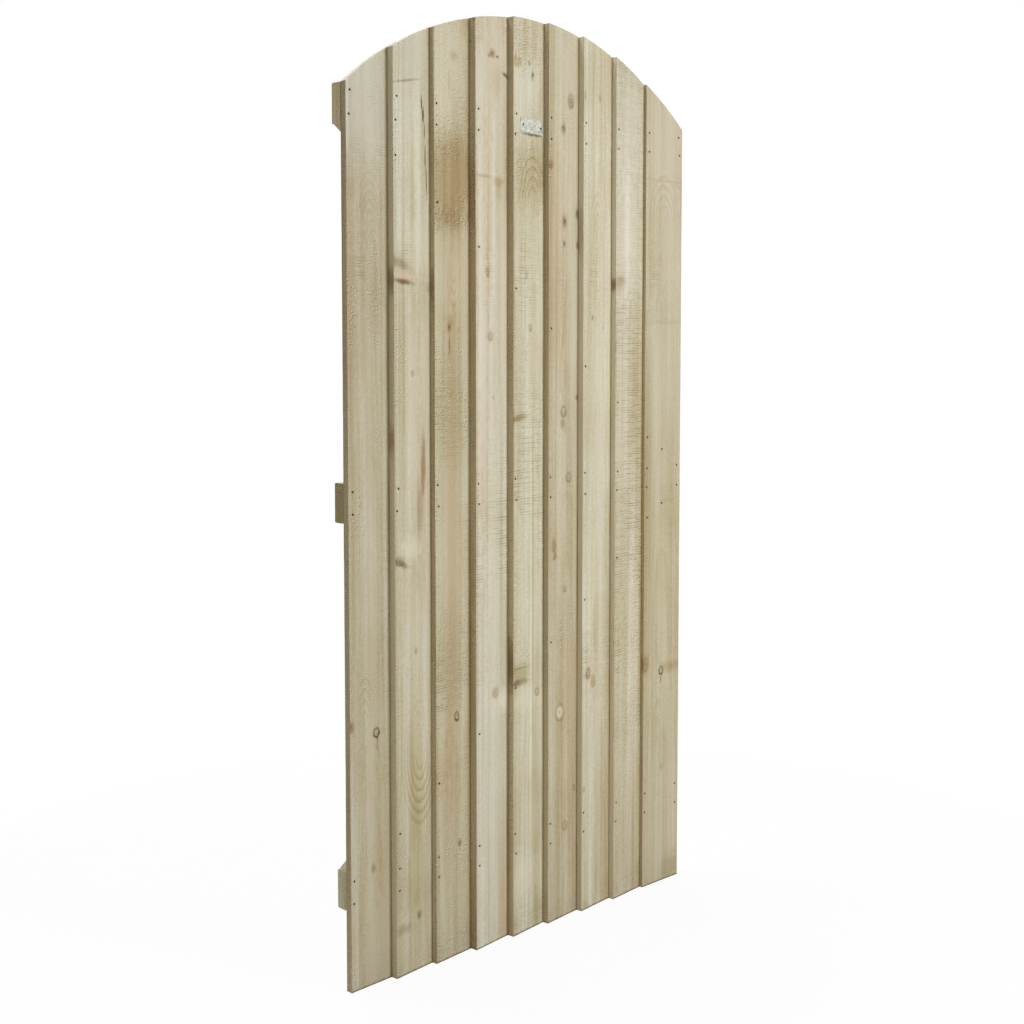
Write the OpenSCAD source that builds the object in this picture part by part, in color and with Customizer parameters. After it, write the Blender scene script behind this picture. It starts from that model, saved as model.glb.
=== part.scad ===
// Arched featheredge gate: a ledged and braced leaf of lapped, tapered boards.
// Seen from the front (looking along +Y), X runs left to right and Z runs up.
// The origin is at the foot, midway across, in the plane where the boards bear on the ledges.

/* [Leaf] */
// Overall width of the leaf, which is also the length of the ledges
gate_w = 900; // [600:5:1200]
// Overall height, at the crown of the arch
gate_h = 1800; // [1500:10:2100]
// Rise of the arch from the shoulders to the crown
arch_rise = 168; // [80:2:300]

/* [Boards] */
// Width of a board across its back
board_w = 120; // [95:1:150]
// Thickness of a board at its thick edge, taken over all the boards
thick_edge = 13.5; // [11:0.5:20]
// Thickness of a board at its feather edge
feather_edge = 7; // [4:0.5:9]
// Least that a board laps its neighbour, which sets how many boards the leaf takes
least_lap = 20; // [14:1:40]
// Air left between a board and the neighbour that it laps
lap_gap = 0.1; // [0.05:0.05:0.5]

/* [Ledges] */
// Height of a ledge
ledge_h = 72; // [50:1:100]
// Thickness of a ledge, front to back
ledge_t = 25; // [18:1:38]
// Height of the bottom ledge's lower face above the foot
foot_clear = 149; // [80:1:250]
// Radius of the eased long edges of the ledges and braces
arris_r = 2.5; // [1:0.5:5]

/* [Braces] */
// Width of a brace across its back
brace_w = 50; // [38:1:75]
// Thickness of a brace, front to back
brace_t = 25; // [18:1:38]
// Distance of a brace's tips from the ends of the ledges
brace_inset = 4; // [0:1:30]

/* [Nails] */
// Diameter of a nail's shank
nail_d = 2.6; // [2:0.1:3.4]
// Diameter of a nail's head
nail_head_d = 4.25; // [3.5:0.25:7]
// Thickness of a nail's head
nail_head_t = 1.2; // [0.8:0.1:2]
// Length of a nail's point
nail_point = 3; // [2:0.5:5]
// Depth of a nail's head below the face of its board
nail_sink = 0.8; // [0.2:0.1:1.5]
// Wood left behind the deepest nail point
nail_cover = 4; // [2:0.5:8]
// Distance of the nails from the edge of their board
nail_inset = 10; // [7:0.5:16]
// Height between the two nails that fix a board to a ledge
nail_row_h = 40; // [24:1:46]
// Distance of the last nail in a brace from the brace's right-hand tip
end_nail_x = 57; // [40:1:70]
// Most that a driven nail strays from its mark
nail_stray = 2; // [0:0.5:3]
// Air round a nail or pin in its hole
nail_fit = 0.05; // [0.02:0.01:0.2]

/* [Tag] */
// Length of the metal tag
tag_l = 70; // [40:1:80]
// Height of the metal tag
tag_h = 28; // [20:1:40]
// Thickness of the tag's sheet
tag_t = 0.8; // [0.5:0.1:1.5]
// Corner radius of the tag
tag_corner = 2; // [0.5:0.5:6]
// Distance of the tag's right end from the edge of the next board
tag_margin = 5; // [3:1:25]
// Tilt of the tag, clockwise seen from the front
tag_tilt = 2; // [0:0.5:6]
// Diameter of a tag pin
pin_d = 1.6; // [1.2:0.1:2.5]
// Diameter of a tag pin's head
pin_head_d = 4; // [3:0.25:6]
// Height of a tag pin's head
pin_head_t = 0.8; // [0.5:0.1:1.5]
// Depth of a tag pin in the board
pin_depth = 6; // [4:0.5:7]
// Distance of the pins from the ends of the tag
pin_inset = 7; // [4:0.5:12]

/* [Hidden] */
$fn = 48;
arch_fn = 360;
// How much thicker or thinner than the rest each board is sawn, from the left
sawn_odds = [1, 0.5, -2.5, 2, 1, -1, -0.5, -2, 0];
wood_pale = [0.78, 0.73, 0.61];
wood_tan = [0.72, 0.66, 0.52];
steel_dark = [0.30, 0.27, 0.23];
tag_grey = [0.72, 0.73, 0.74];

left_x = -gate_w / 2;
right_x = gate_w / 2;
shoulder_z = gate_h - arch_rise;
arch_r = (gate_w * gate_w / 4 + arch_rise * arch_rise) / (2 * arch_rise);
side_h = max(shoulder_z / 2, gate_h - arch_r);
board_count = 1 + ceil((gate_w - board_w) / (board_w - least_lap));
cover = (gate_w - board_w) / (board_count - 1);

// The top ledge is level with the shoulders, and the middle one is halfway between the others.
bottom_ledge_z = foot_clear;
top_ledge_z = shoulder_z - ledge_h;
middle_ledge_z = (bottom_ledge_z + top_ledge_z) / 2;

function thick_of(i) = thick_edge + sawn_odds[(i - 1) % len(sawn_odds)];

// A nail's length leaves the named cover behind the outer boards, which lie closest to the ledges.
nail_len = min(thick_of(1), thick_of(board_count)) - nail_sink + min(ledge_t, brace_t) - nail_cover;

// How far the back of the next board's left edge stands off the ledges,
// where it rests on board i, which is itself lifted by this much.
// It bears on that board's sloping face or on its feather edge, whichever it meets first.
function rest_on(i, lift) =
    let (lean = asin(lift / board_w))
    let (left = [thick_of(i) * sin(lean), lift + thick_of(i) * cos(lean)])
    let (right = [board_w * cos(lean) + feather_edge * sin(lean), feather_edge * cos(lean)])
    let (on_face = left.y + (cover - left.x) * (right.y - left.y) / (right.x - left.x))
    let (on_feather = right.y / (1 - (right.x - cover) / board_w))
    max(on_face, on_feather) + lap_gap;

// The first board lies flat, and each one after it rests on its left-hand neighbour.
lifts = [for (i = 1, lift = 0; i <= board_count; lift = rest_on(i, lift), i = i + 1) lift];

// The last board is turned round, so that both sides of the leaf end in a thick edge.
function left_t(i) = i < board_count ? thick_of(i) : feather_edge;
function right_t(i) = i < board_count ? feather_edge : thick_of(i);
function board_x(i) = left_x + (i - 1) * cover;
function board_lean(i) = asin(lifts[i - 1] / board_w);

// A point of board i, at u across its back from the left and v up from its back.
function board_point(i, u, v) = [
    board_x(i) + u * cos(board_lean(i)) + v * sin(board_lean(i)),
    -lifts[i - 1] + u * sin(board_lean(i)) - v * cos(board_lean(i))
];
function front_left(i) = board_point(i, 0, left_t(i));
function front_right(i) = board_point(i, board_w, right_t(i));
function front_slope(i) =
    (front_right(i).y - front_left(i).y) / (front_right(i).x - front_left(i).x);
function front_y(i, x) = front_left(i).y + (x - front_left(i).x) * front_slope(i);

// A brace runs from corner to corner of its bay: the upper one falls to the right, the lower one rises.
falls = 1;
rises = -1;
bay_h = middle_ledge_z - bottom_ledge_z - ledge_h;
lower_bay_z = bottom_ledge_z + ledge_h;
upper_bay_z = middle_ledge_z + ledge_h;
brace_run = gate_w - 2 * brace_inset;
brace_angle = asin(brace_w / norm([brace_run, bay_h])) + atan2(bay_h, brace_run);
function brace_z(bay_z, way, x) = bay_z + bay_h / 2 - way * x * tan(brace_angle);

// Each nail is [x, z, board]: where it is driven, and the board that its head sinks into.
function stray(count, seed) = rands(-nail_stray, nail_stray, count, seed);
function nail_x(i) = i <= board_count ? board_x(i) + nail_inset : right_x - nail_inset;
function ledge_nails(ledge_z, seed) =
    let (dx = stray(2 * board_count + 2, seed))
    let (dz = stray(2 * board_count + 2, seed + 1))
    [for (i = [1:board_count + 1], row = [0, 1])
        let (k = 2 * (i - 1) + row)
        [
            nail_x(i) + dx[k],
            ledge_z + ledge_h / 2 + (row - 0.5) * nail_row_h + dz[k],
            min(i, board_count)
        ]
    ];
function brace_nails(bay_z, way, seed) =
    let (dx = stray(board_count + 1, seed))
    let (end_z = bay_z + (way == falls ? 0 : bay_h))
    concat(
        [for (i = [2:board_count])
            let (x = nail_x(i) + dx[i])
            [x, brace_z(bay_z, way, x), i]
        ],
        [[
            right_x - brace_inset - end_nail_x,
            end_z + way * end_nail_x * tan(brace_angle) / 2,
            board_count
        ]]
    );

top_nails = ledge_nails(top_ledge_z, 11);
middle_nails = ledge_nails(middle_ledge_z, 21);
bottom_nails = ledge_nails(bottom_ledge_z, 31);
upper_nails = brace_nails(upper_bay_z, falls, 41);
lower_nails = brace_nails(lower_bay_z, rises, 51);
all_nails = concat(top_nails, middle_nails, bottom_nails, upper_nails, lower_nails);

// The tag is pinned to the middle board, level with the top ledge.
tag_board = ceil(board_count / 2);
tag_x = board_x(tag_board + 1) - tag_margin - tag_l / 2;
tag_z = top_ledge_z + ledge_h / 2;
pin_places = [-tag_l / 2 + pin_inset, tag_l / 2 - pin_inset];

// Section of a ledge or brace with its long edges eased.
module eased_section(size, r) {
    translate([r, 0])
        square([size.x - 2 * r, size.y]);
    translate([0, r])
        square([size.x, size.y - 2 * r]);
    for (x = [r, size.x - r], y = [r, size.y - r])
        translate([x, y])
            circle(r);
}

// The leaf's outline: upright sides, and one round arch from shoulder to shoulder.
module leaf_outline() {
    intersection() {
        translate([left_x, 0])
            square([gate_w, gate_h + arch_rise]);
        union() {
            translate([0, gate_h - arch_r])
                circle(arch_r, $fn = arch_fn);
            translate([-gate_w, 0])
                square([2 * gate_w, side_h]);
        }
    }
}

module nail() {
    rotate_extrude()
        polygon([
            [0, 0],
            [nail_head_d / 2, 0],
            [nail_head_d / 2, nail_head_t],
            [nail_d / 2, nail_head_t],
            [nail_d / 2, nail_len - nail_point],
            [0, nail_len]
        ]);
}

// The way that a nail's shank and sunk head make in the wood, open to the face.
module nail_hole() {
    translate([0, 0, -nail_head_d])
        cylinder(h = nail_head_d + nail_head_t + nail_fit, d = nail_head_d + 2 * nail_fit);
    cylinder(h = nail_len + nail_fit, d = nail_d + 2 * nail_fit);
}

// Lays a nail, drawn along +Z from its head, into the face of its board.
module drive(n) {
    translate([n[0], front_y(n[2], n[0]) + nail_sink, n[1]])
        rotate([-90, 0, 0])
            children();
}

module nail_group(nails) {
    color(steel_dark)
        for (n = nails)
            drive(n)
                nail();
}

// Draws on the face of the middle board, with +Z out of the face.
module on_tag_face() {
    translate([tag_x, front_y(tag_board, tag_x), tag_z])
        rotate([0, 0, atan(front_slope(tag_board))])
            rotate([90, 0, 0])
                rotate(-tag_tilt)
                    children();
}

module pin_holes() {
    on_tag_face()
        for (x = pin_places)
            translate([x, 0, -pin_depth - nail_fit])
                cylinder(h = 2 * pin_depth, d = pin_d + 2 * nail_fit);
}

module board(i) {
    stock = [
        board_point(i, 0, 0),
        board_point(i, board_w, 0),
        front_right(i),
        front_left(i)
    ];
    color(wood_pale)
        difference() {
            intersection() {
                translate([0, 0, -arch_rise])
                    linear_extrude(gate_h + 2 * arch_rise)
                        polygon(stock);
                rotate([90, 0, 0])
                    linear_extrude(board_w, center = true)
                        leaf_outline();
            }
            for (n = all_nails)
                if (n[0] > board_x(i) - nail_d && n[0] < board_x(i) + board_w + nail_d)
                    drive(n)
                        nail_hole();
            if (i == tag_board)
                pin_holes();
        }
}

module ledge(z, nails) {
    color(wood_tan)
        difference() {
            translate([left_x, 0, z])
                rotate([90, 0, 90])
                    linear_extrude(gate_w)
                        eased_section([ledge_t, ledge_h], arris_r);
            for (n = nails)
                drive(n)
                    nail_hole();
        }
}

// A brace is a straight bar, cut to seat between the faces of its two ledges.
module brace(bay_z, way, nails) {
    color(wood_tan)
        difference() {
            intersection() {
                translate([0, 0, bay_z + bay_h / 2])
                    rotate([0, way * brace_angle, 0])
                        translate([-gate_w, 0, -brace_w / 2])
                            rotate([90, 0, 90])
                                linear_extrude(2 * gate_w)
                                    eased_section([brace_t, brace_w], arris_r);
                translate([-gate_w, -brace_t, bay_z])
                    cube([2 * gate_w, 3 * brace_t, bay_h]);
            }
            for (n = nails)
                drive(n)
                    nail_hole();
        }
}

module top_ledge() {
    ledge(top_ledge_z, top_nails);
}

module middle_ledge() {
    ledge(middle_ledge_z, middle_nails);
}

module bottom_ledge() {
    ledge(bottom_ledge_z, bottom_nails);
}

module upper_brace() {
    brace(upper_bay_z, falls, upper_nails);
}

module lower_brace() {
    brace(lower_bay_z, rises, lower_nails);
}

module tag_plate() {
    color(tag_grey)
        on_tag_face()
            translate([0, 0, nail_fit])
                linear_extrude(tag_t)
                    difference() {
                        translate([-tag_l / 2, -tag_h / 2])
                            eased_section([tag_l, tag_h], tag_corner);
                        for (x = pin_places)
                            translate([x, 0])
                                circle(d = pin_d + 2 * nail_fit);
                    }
}

module tag_pins() {
    head_z = tag_t + 2 * nail_fit;
    color(steel_dark)
        on_tag_face()
            for (x = pin_places)
                translate([x, 0, 0])
                    rotate_extrude()
                        polygon([
                            [0, -pin_depth],
                            [pin_d / 2, pin_d - pin_depth],
                            [pin_d / 2, head_z],
                            [pin_head_d / 2, head_z],
                            [pin_head_d / 2, head_z + pin_head_t],
                            [0, head_z + pin_head_t]
                        ]);
}

for (i = [1:board_count])
    board(i);
top_ledge();
middle_ledge();
bottom_ledge();
upper_brace();
lower_brace();
nail_group(top_nails);  // top_ledge_nails
nail_group(middle_nails);  // middle_ledge_nails
nail_group(bottom_nails);  // bottom_ledge_nails
nail_group(upper_nails);  // upper_brace_nails
nail_group(lower_nails);  // lower_brace_nails
tag_plate();
tag_pins();
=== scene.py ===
# %% [markdown]
# # An arched featheredge gate
# This garden gate is a leaf of nine tapered boards. Each one laps the next, and nails hold them to three
# ledges and two braces. The solids are already made, so this lesson only dresses them: it
# rebuilds each timber as a finely divided mesh with a sawn surface, drives the nails, dents the little
# metal tag, and gives every surface a finish made of nodes.

# %% Load the imported solids
import math

import bpy
import numpy as np
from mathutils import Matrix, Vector


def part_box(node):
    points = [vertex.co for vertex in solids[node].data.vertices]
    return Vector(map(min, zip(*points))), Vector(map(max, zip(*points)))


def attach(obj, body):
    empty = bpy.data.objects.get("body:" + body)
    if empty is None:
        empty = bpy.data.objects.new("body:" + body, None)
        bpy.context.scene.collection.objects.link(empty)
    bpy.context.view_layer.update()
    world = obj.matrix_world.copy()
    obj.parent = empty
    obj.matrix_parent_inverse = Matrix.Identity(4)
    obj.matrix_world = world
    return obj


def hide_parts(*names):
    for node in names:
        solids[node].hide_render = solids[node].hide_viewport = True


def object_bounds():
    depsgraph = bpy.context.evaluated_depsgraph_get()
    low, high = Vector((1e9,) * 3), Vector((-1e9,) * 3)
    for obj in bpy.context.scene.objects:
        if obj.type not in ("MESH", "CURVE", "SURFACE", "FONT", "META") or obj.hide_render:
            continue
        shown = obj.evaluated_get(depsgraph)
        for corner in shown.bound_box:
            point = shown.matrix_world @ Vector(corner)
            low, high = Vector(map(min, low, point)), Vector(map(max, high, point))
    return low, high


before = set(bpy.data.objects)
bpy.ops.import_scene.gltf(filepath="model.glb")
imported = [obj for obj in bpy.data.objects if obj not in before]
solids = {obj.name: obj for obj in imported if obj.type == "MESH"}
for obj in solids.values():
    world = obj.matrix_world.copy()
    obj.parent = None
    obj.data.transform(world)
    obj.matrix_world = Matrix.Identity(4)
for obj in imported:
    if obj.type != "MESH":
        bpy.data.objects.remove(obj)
cad_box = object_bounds()
print("solids:", len(solids), "box:", [tuple(round(c, 3) for c in corner) for corner in cad_box])

# %% [markdown]
# ## The camera
# The photograph is taken from the left, at chest height, with the camera nearly level. The place, the
# lens and the two angles below come from matching the leaf's corners and nail rows, with the leaf taken
# as 900 mm wide. A small lens shift does part of the work of looking down, so the upright boards stay
# nearly parallel.

# %% Camera
CAMERA_PLACE = (-2.0412, -2.1413, 1.1730)
CAMERA_LENS_MM = 52.633
CAMERA_YAW = math.radians(43.077)
CAMERA_PITCH = math.radians(3.811)
CAMERA_SHIFT = -0.066

scene = bpy.context.scene
camera = bpy.data.objects.new("camera", bpy.data.cameras.new("camera"))
scene.collection.objects.link(camera)
camera.location = CAMERA_PLACE
camera.rotation_euler = (math.pi / 2 - CAMERA_PITCH, 0, -CAMERA_YAW)
camera.data.lens = CAMERA_LENS_MM
camera.data.shift_y = CAMERA_SHIFT
scene.camera = camera
scene.view_settings.view_transform = "Standard"
print("camera", CAMERA_LENS_MM, "mm")

# %% [markdown]
# ## Small helpers for node trees
# Every finish here is a tree of nodes. Short helpers keep the trees readable. One adds a node and joins
# its sockets, some do arithmetic on values and vectors, and others stretch a value between two limits,
# mix two colours or make a noise.

# %% Node helpers
def add(tree, kind, inputs=None, **settings):
    """A new node, with each input either joined to a socket or set to a value."""
    node = tree.nodes.new(kind)
    for name, value in settings.items():
        setattr(node, name, value)
    for key, value in (inputs or {}).items():
        if isinstance(value, bpy.types.NodeSocket):
            tree.links.new(value, node.inputs[key])
        else:
            node.inputs[key].default_value = value
    return node


def calc(tree, operation, *values):
    """The result of one arithmetic node."""
    return add(tree, "ShaderNodeMath", dict(enumerate(values)), operation=operation).outputs[0]


def times(tree, first, second):
    """The product of two values."""
    return calc(tree, "MULTIPLY", first, second)


def plus(tree, first, second):
    """The sum of two values."""
    return calc(tree, "ADD", first, second)


def minus(tree, first, second):
    """The first value less the second."""
    return calc(tree, "SUBTRACT", first, second)


def times_plus(tree, first, second, more):
    """The product of two values, with a third added."""
    return calc(tree, "MULTIPLY_ADD", first, second, more)


def between(tree, value, low, high, kind="SMOOTHSTEP"):
    """0 where value is at low or less, 1 at high or more, and a smooth step between."""
    sockets = {0: value, 1: low, 2: high, 3: 0.0, 4: 1.0}
    return add(tree, "ShaderNodeMapRange", sockets, interpolation_type=kind).outputs[0]


def mix(tree, factor, first, second, kind="MIX"):
    """Two colours mixed, or multiplied and so on, by a factor."""
    sockets = {0: factor, 6: first, 7: second}
    return add(tree, "ShaderNodeMix", sockets, data_type="RGBA", blend_type=kind).outputs[2]


def point(tree, x, y, z):
    """A vector from three values."""
    return add(tree, "ShaderNodeCombineXYZ", {0: x, 1: y, 2: z}).outputs[0]


def vector(tree, operation, *values):
    """The result of one arithmetic node on vectors."""
    return add(tree, "ShaderNodeVectorMath", dict(enumerate(values)), operation=operation).outputs[0]


def stretched(tree, place, cell):
    """A place divided by the size of a cell, so that a noise has cells of that size."""
    return vector(tree, "MULTIPLY", place, tuple(1 / c for c in cell))


def noise(tree, place, detail, rough=0.5):
    """A noise texture's node, with cells of size 1."""
    sockets = {"Vector": place, "Scale": 1.0, "Detail": detail, "Roughness": rough}
    return add(tree, "ShaderNodeTexNoise", sockets)


def srgb(red, green, blue):
    """A colour as read off a screen, from 0 to 255, as the linear colour that a node takes."""
    channels = [c / 255 for c in (red, green, blue)]
    return tuple(c / 12.92 if c < 0.04045 else ((c + 0.055) / 1.055) ** 2.4 for c in channels) + (1.0,)


def blank_finish(name):
    """A new material and its empty node tree."""
    material = bpy.data.materials.new(name)
    material.use_nodes = True
    material.node_tree.nodes.clear()
    return material, material.node_tree


print("node helpers ready")

# %% [markdown]
# ## Floor and light
# The gate was photographed on white. A pale floor takes a faint shadow and fades into a white world. The
# main lamp is a large soft panel in front and to the right, so the edges that face left stay dark and
# each step between two boards throws a short shadow. A weaker panel from above lights the sawn arch, and
# one behind lights the ledges.

# %% World
AMBIENT = 0.29
WHITE = (1, 1, 1, 1)


def seen_rays(tree):
    """1 for rays that show a surface, straight or in gloss or glass, and 0 for those that only light it."""
    rays = add(tree, "ShaderNodeLightPath").outputs
    seen = calc(tree, "MAXIMUM", rays["Is Camera Ray"], rays["Is Glossy Ray"])
    return calc(tree, "MAXIMUM", seen, rays["Is Transmission Ray"])


world = bpy.data.worlds.new("studio")
scene.world = world
world.use_nodes = True
tree = world.node_tree
tree.nodes.clear()
soft_light = add(tree, "ShaderNodeBackground", {"Color": WHITE, "Strength": AMBIENT})
white = add(tree, "ShaderNodeBackground", {"Color": WHITE, "Strength": 1.0})
shown = {0: seen_rays(tree), 1: soft_light.outputs[0], 2: white.outputs[0]}
both = add(tree, "ShaderNodeMixShader", shown)
add(tree, "ShaderNodeOutputWorld", {"Surface": both.outputs[0]})
print("soft light from all round:", AMBIENT)

# %% Lamps
def panel(name, place, aim, size, watts):
    """A square soft lamp that looks at a point."""
    lamp = bpy.data.objects.new(name, bpy.data.lights.new(name, "AREA"))
    lamp.data.size = size
    lamp.data.energy = watts
    lamp.location = place
    lamp.rotation_euler = (Vector(aim) - Vector(place)).to_track_quat("-Z", "Y").to_euler()
    scene.collection.objects.link(lamp)
    return lamp


middle = (cad_box[0] + cad_box[1]) / 2
panel("front_panel", (1.5, -3.9, 2.65), middle, size=1.5, watts=137)
panel("top_panel", (-0.5, 0.8, 4.3), (0, 0, 1.6), size=1.2, watts=85)
panel("back_panel", (1.6, 3.6, 2.4), middle, size=2.2, watts=75)

# %% Floor
FLOOR_RADIUS = 9.0
FLOOR_GREY = (0.8, 0.8, 0.8, 1)
FLOOR_WHITE_SHARE = 0.945
FLOOR_FADE = (0.55, 1.5)

bpy.ops.mesh.primitive_circle_add(vertices=96, radius=FLOOR_RADIUS, fill_type="NGON")
floor = bpy.context.object
floor.name = "floor"
finish, tree = blank_finish("pale_floor")
coordinates = add(tree, "ShaderNodeTexCoord").outputs["Object"]
away = add(tree, "ShaderNodeVectorMath", {0: coordinates}, operation="LENGTH").outputs["Value"]
share = calc(tree, "MAXIMUM", between(tree, away, *FLOOR_FADE), FLOOR_WHITE_SHARE)
matt = add(tree, "ShaderNodeBsdfDiffuse", {"Color": FLOOR_GREY})
glow = add(tree, "ShaderNodeEmission", {"Color": WHITE, "Strength": 1.0})
shown = {0: times(tree, seen_rays(tree), share), 1: matt.outputs[0], 2: glow.outputs[0]}
both = add(tree, "ShaderNodeMixShader", shown)
add(tree, "ShaderNodeOutputMaterial", {"Surface": both.outputs[0]})
floor.data.materials.append(finish)
print("floor radius", FLOOR_RADIUS)

# %% [markdown]
# ## Reading the timbers
# The solids say where everything is. A board's foot is a plain four-cornered section, so its corners can
# be read from the points that stand on the ground. A nail is a small cluster of points round one axis,
# so the middle of each cluster is the middle of a nail head.

# %% Corners and nail places
MM = 0.001
NAIL_REACH = 7 * MM
NAIL_NODES = [name for name in solids if name.endswith("_nails")]
BOARDS = sorted(name for name in solids if name.startswith("board_"))
LEDGES = [name for name in solids if name.endswith("_ledge")]
BRACES = [name for name in solids if name.endswith("_brace")]


def points_of(name):
    """The points of a solid's mesh, as rows of x, y, z in metres."""
    mesh = solids[name].data
    flat = np.zeros(len(mesh.vertices) * 3)
    mesh.vertices.foreach_get("co", flat)
    return flat.reshape(-1, 3)


def foot_corners(name):
    """Front left, front right, back right and back left corner of a board's foot."""
    points = points_of(name)
    foot = np.unique(points[points[:, 2] < 0.01 * MM][:, :2].round(6), axis=0)
    foot = foot[np.argsort(foot[:, 0])]
    left, right = foot[:2], foot[2:]
    return np.array([left[left[:, 1].argmin()], right[right[:, 1].argmin()],
                     right[right[:, 1].argmax()], left[left[:, 1].argmax()]])


def nail_places(name):
    """The middle of each nail head in a set, with y at the top of the head."""
    points = points_of(name)
    places = []
    while len(points):
        near = np.hypot(points[:, 0] - points[0, 0], points[:, 2] - points[0, 2]) < NAIL_REACH
        low, high = points[near].min(axis=0), points[near].max(axis=0)
        places.append(((low[0] + high[0]) / 2, low[1], (low[2] + high[2]) / 2))
        points = points[~near]
    return np.array(places)


nails = np.concatenate([nail_places(name) for name in NAIL_NODES])
print("boards", len(BOARDS), "nails", len(nails))

# %% [markdown]
# ## A rough surface from numbers
# Sawn timber isn't flat: the saw leaves ridges and tears fibres. A lattice of random numbers, smoothly
# joined up, gives hills and hollows of any size. The seed is fixed, so the same wood comes out on every
# run. All the relief goes inwards, so that no timber grows past the size it was drawn at.

# %% Hills and hollows
LATTICE = 256
LATTICE_START = 1000


def hills(across, along, cell, seed):
    """Smooth random heights from -1 to 1, over cells of a given size across and along."""
    table = np.random.default_rng(seed).uniform(-1, 1, (LATTICE, LATTICE))
    u = np.asarray(across) / cell[0] + LATTICE_START
    v = np.asarray(along) / cell[1] + LATTICE_START
    i, j = np.floor(u).astype(int), np.floor(v).astype(int)
    a, b = u - i, v - j
    a, b = a * a * (3 - 2 * a), b * b * (3 - 2 * b)
    steps = ((0, 0), (1, 0), (0, 1), (1, 1))
    corner = [table[(i + p) % LATTICE, (j + q) % LATTICE] for p, q in steps]
    return (corner[0] * (1 - a) + corner[1] * a) * (1 - b) + (corner[2] * (1 - a) + corner[3] * a) * b


def stops(length, step, fine_at=(), fine_half=4.2 * MM, fine_step=1.05 * MM):
    """Places along a length: evenly spaced, and close together round the places in fine_at."""
    places = set(np.linspace(0, length, max(2, round(length / step)) + 1).round(6))
    for middle_of in fine_at:
        places = {p for p in places if abs(p - middle_of) > fine_half + 0.4 * fine_step}
        near = middle_of + np.arange(-fine_half, fine_half + fine_step / 2, fine_step)
        places |= {round(p, 6) for p in near if 0 < p < length}
    return np.array(sorted(p for p in places if 0 < p < length))


print("relief ready")

# %% [markdown]
# ## Sweeping a timber
# A timber is one section carried along its length. The section's outline is walked round once, with a
# small round at each corner, and repeated in rows. The first and last rows may differ from point to
# point, which is how a board top follows the arch and a brace end meets a ledge on the slant. The two
# ends are closed with strips.

# %% Section outline
CORNER = 10
ROUND_CUT = 0.29
CLEAR_OF_ROUND = 1.3


def outline(corners, round_r, side_stops):
    """Walk round a section: points, inward directions, and each point's side, 0 to 3, or CORNER + side."""
    places, inward, side_of = [], [], []
    count = len(corners)
    for k in range(count):
        start, end = corners[k], corners[(k + 1) % count]
        length = np.hypot(*(end - start))
        along = (end - start) / length
        into = np.array([-along[1], along[0]])
        clear = round_r * CLEAR_OF_ROUND
        inner = [s for s in side_stops[k] if clear < s < length - clear]
        for s in [round_r] + inner + [length - round_r]:
            places.append(start + along * s)
            inward.append(into)
            side_of.append(k)
        following = corners[(k + 2) % count] - end
        following = following / np.hypot(*following)
        places.append(end - ROUND_CUT * round_r * along + ROUND_CUT * round_r * following)
        turned = into + np.array([-following[1], following[0]])
        inward.append(turned / np.hypot(*turned))
        side_of.append(CORNER + k)
    return np.array(places), np.array(inward), np.array(side_of)


# %% Sweep
END_MARGIN = 6 * MM
FACE, EDGE, END = 0, 1, 2
SHARP = math.radians(32)


def row_places(start, end, step, fine_at):
    """How far along each row of points lies: slanted rows at the two ends, straight ones between."""
    low = start.max() + END_MARGIN
    high = end.min() - END_MARGIN
    straight = stops(high - low, step, [f - low for f in fine_at])
    straight = low + np.concatenate([[0.0], straight, [high - low]])
    first = np.linspace(0, 1, max(2, round((low - start.min()) / step)) + 1)[:-1, None]
    last = np.linspace(0, 1, max(2, round((end.max() - high) / step)) + 1)[1:, None]
    return np.concatenate([start + first * (low - start),
                           np.repeat(straight[:, None], len(start), axis=1),
                           high + last * (end - high)])


def sweep(name, section, along, to_world, relief):
    """A closed mesh: the section repeated in rows and pressed in. Sides 0 and 2 are faces, 1 and 3 edges."""
    places, inward, side_of = section
    depth = relief(side_of, places, along)
    points = to_world(places[None, :, :] + inward[None, :, :] * depth[:, :, None], along)
    row_count, loop = along.shape
    ids = np.arange(row_count * loop).reshape(row_count, loop)
    ahead = np.roll(ids, -1, axis=1)
    faces = np.stack([ids[:-1], ahead[:-1], ahead[1:], ids[1:]], axis=-1).reshape(-1, 4).tolist()
    on_face = np.isin(side_of, (0, 2, CORNER, CORNER + 3))
    kinds = np.tile(np.where(on_face, FACE, EDGE), row_count - 1).tolist()
    front = np.flatnonzero(side_of == 0)
    back = np.flatnonzero(side_of == 2)
    for cap in cap_strips(front, back, loop):
        faces.append([int(ids[0, c]) for c in reversed(cap)])
        faces.append([int(ids[-1, c]) for c in cap])
        kinds += [END, END]
    mesh = bpy.data.meshes.new(name)
    mesh.from_pydata(points.reshape(-1, 3).tolist(), [], faces)
    mesh.polygons.foreach_set("material_index", kinds)
    mesh.polygons.foreach_set("use_smooth", [True] * len(faces))
    mesh.set_sharp_from_angle(angle=SHARP)
    piece = bpy.data.objects.new(name, mesh)
    scene.collection.objects.link(piece)
    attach(piece, "root")
    return piece


def cap_strips(front, back, loop):
    """Faces that close a section: triangles between its front and back, and one for each edge."""
    back = back[::-1]
    i = j = 0
    while i < len(front) - 1 or j < len(back) - 1:
        share_front = (i + 1) / max(1, len(front) - 1)
        share_back = (j + 1) / max(1, len(back) - 1)
        if j == len(back) - 1 or (i < len(front) - 1 and share_front <= share_back):
            yield [front[i], front[i + 1], back[j]]
            i += 1
        else:
            yield [front[i], back[j + 1], back[j]]
            j += 1
    yield list(range(front[-1], back[-1] + 1))
    yield list(range(back[0], loop)) + [int(front[0])]


print("sweep ready")

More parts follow.
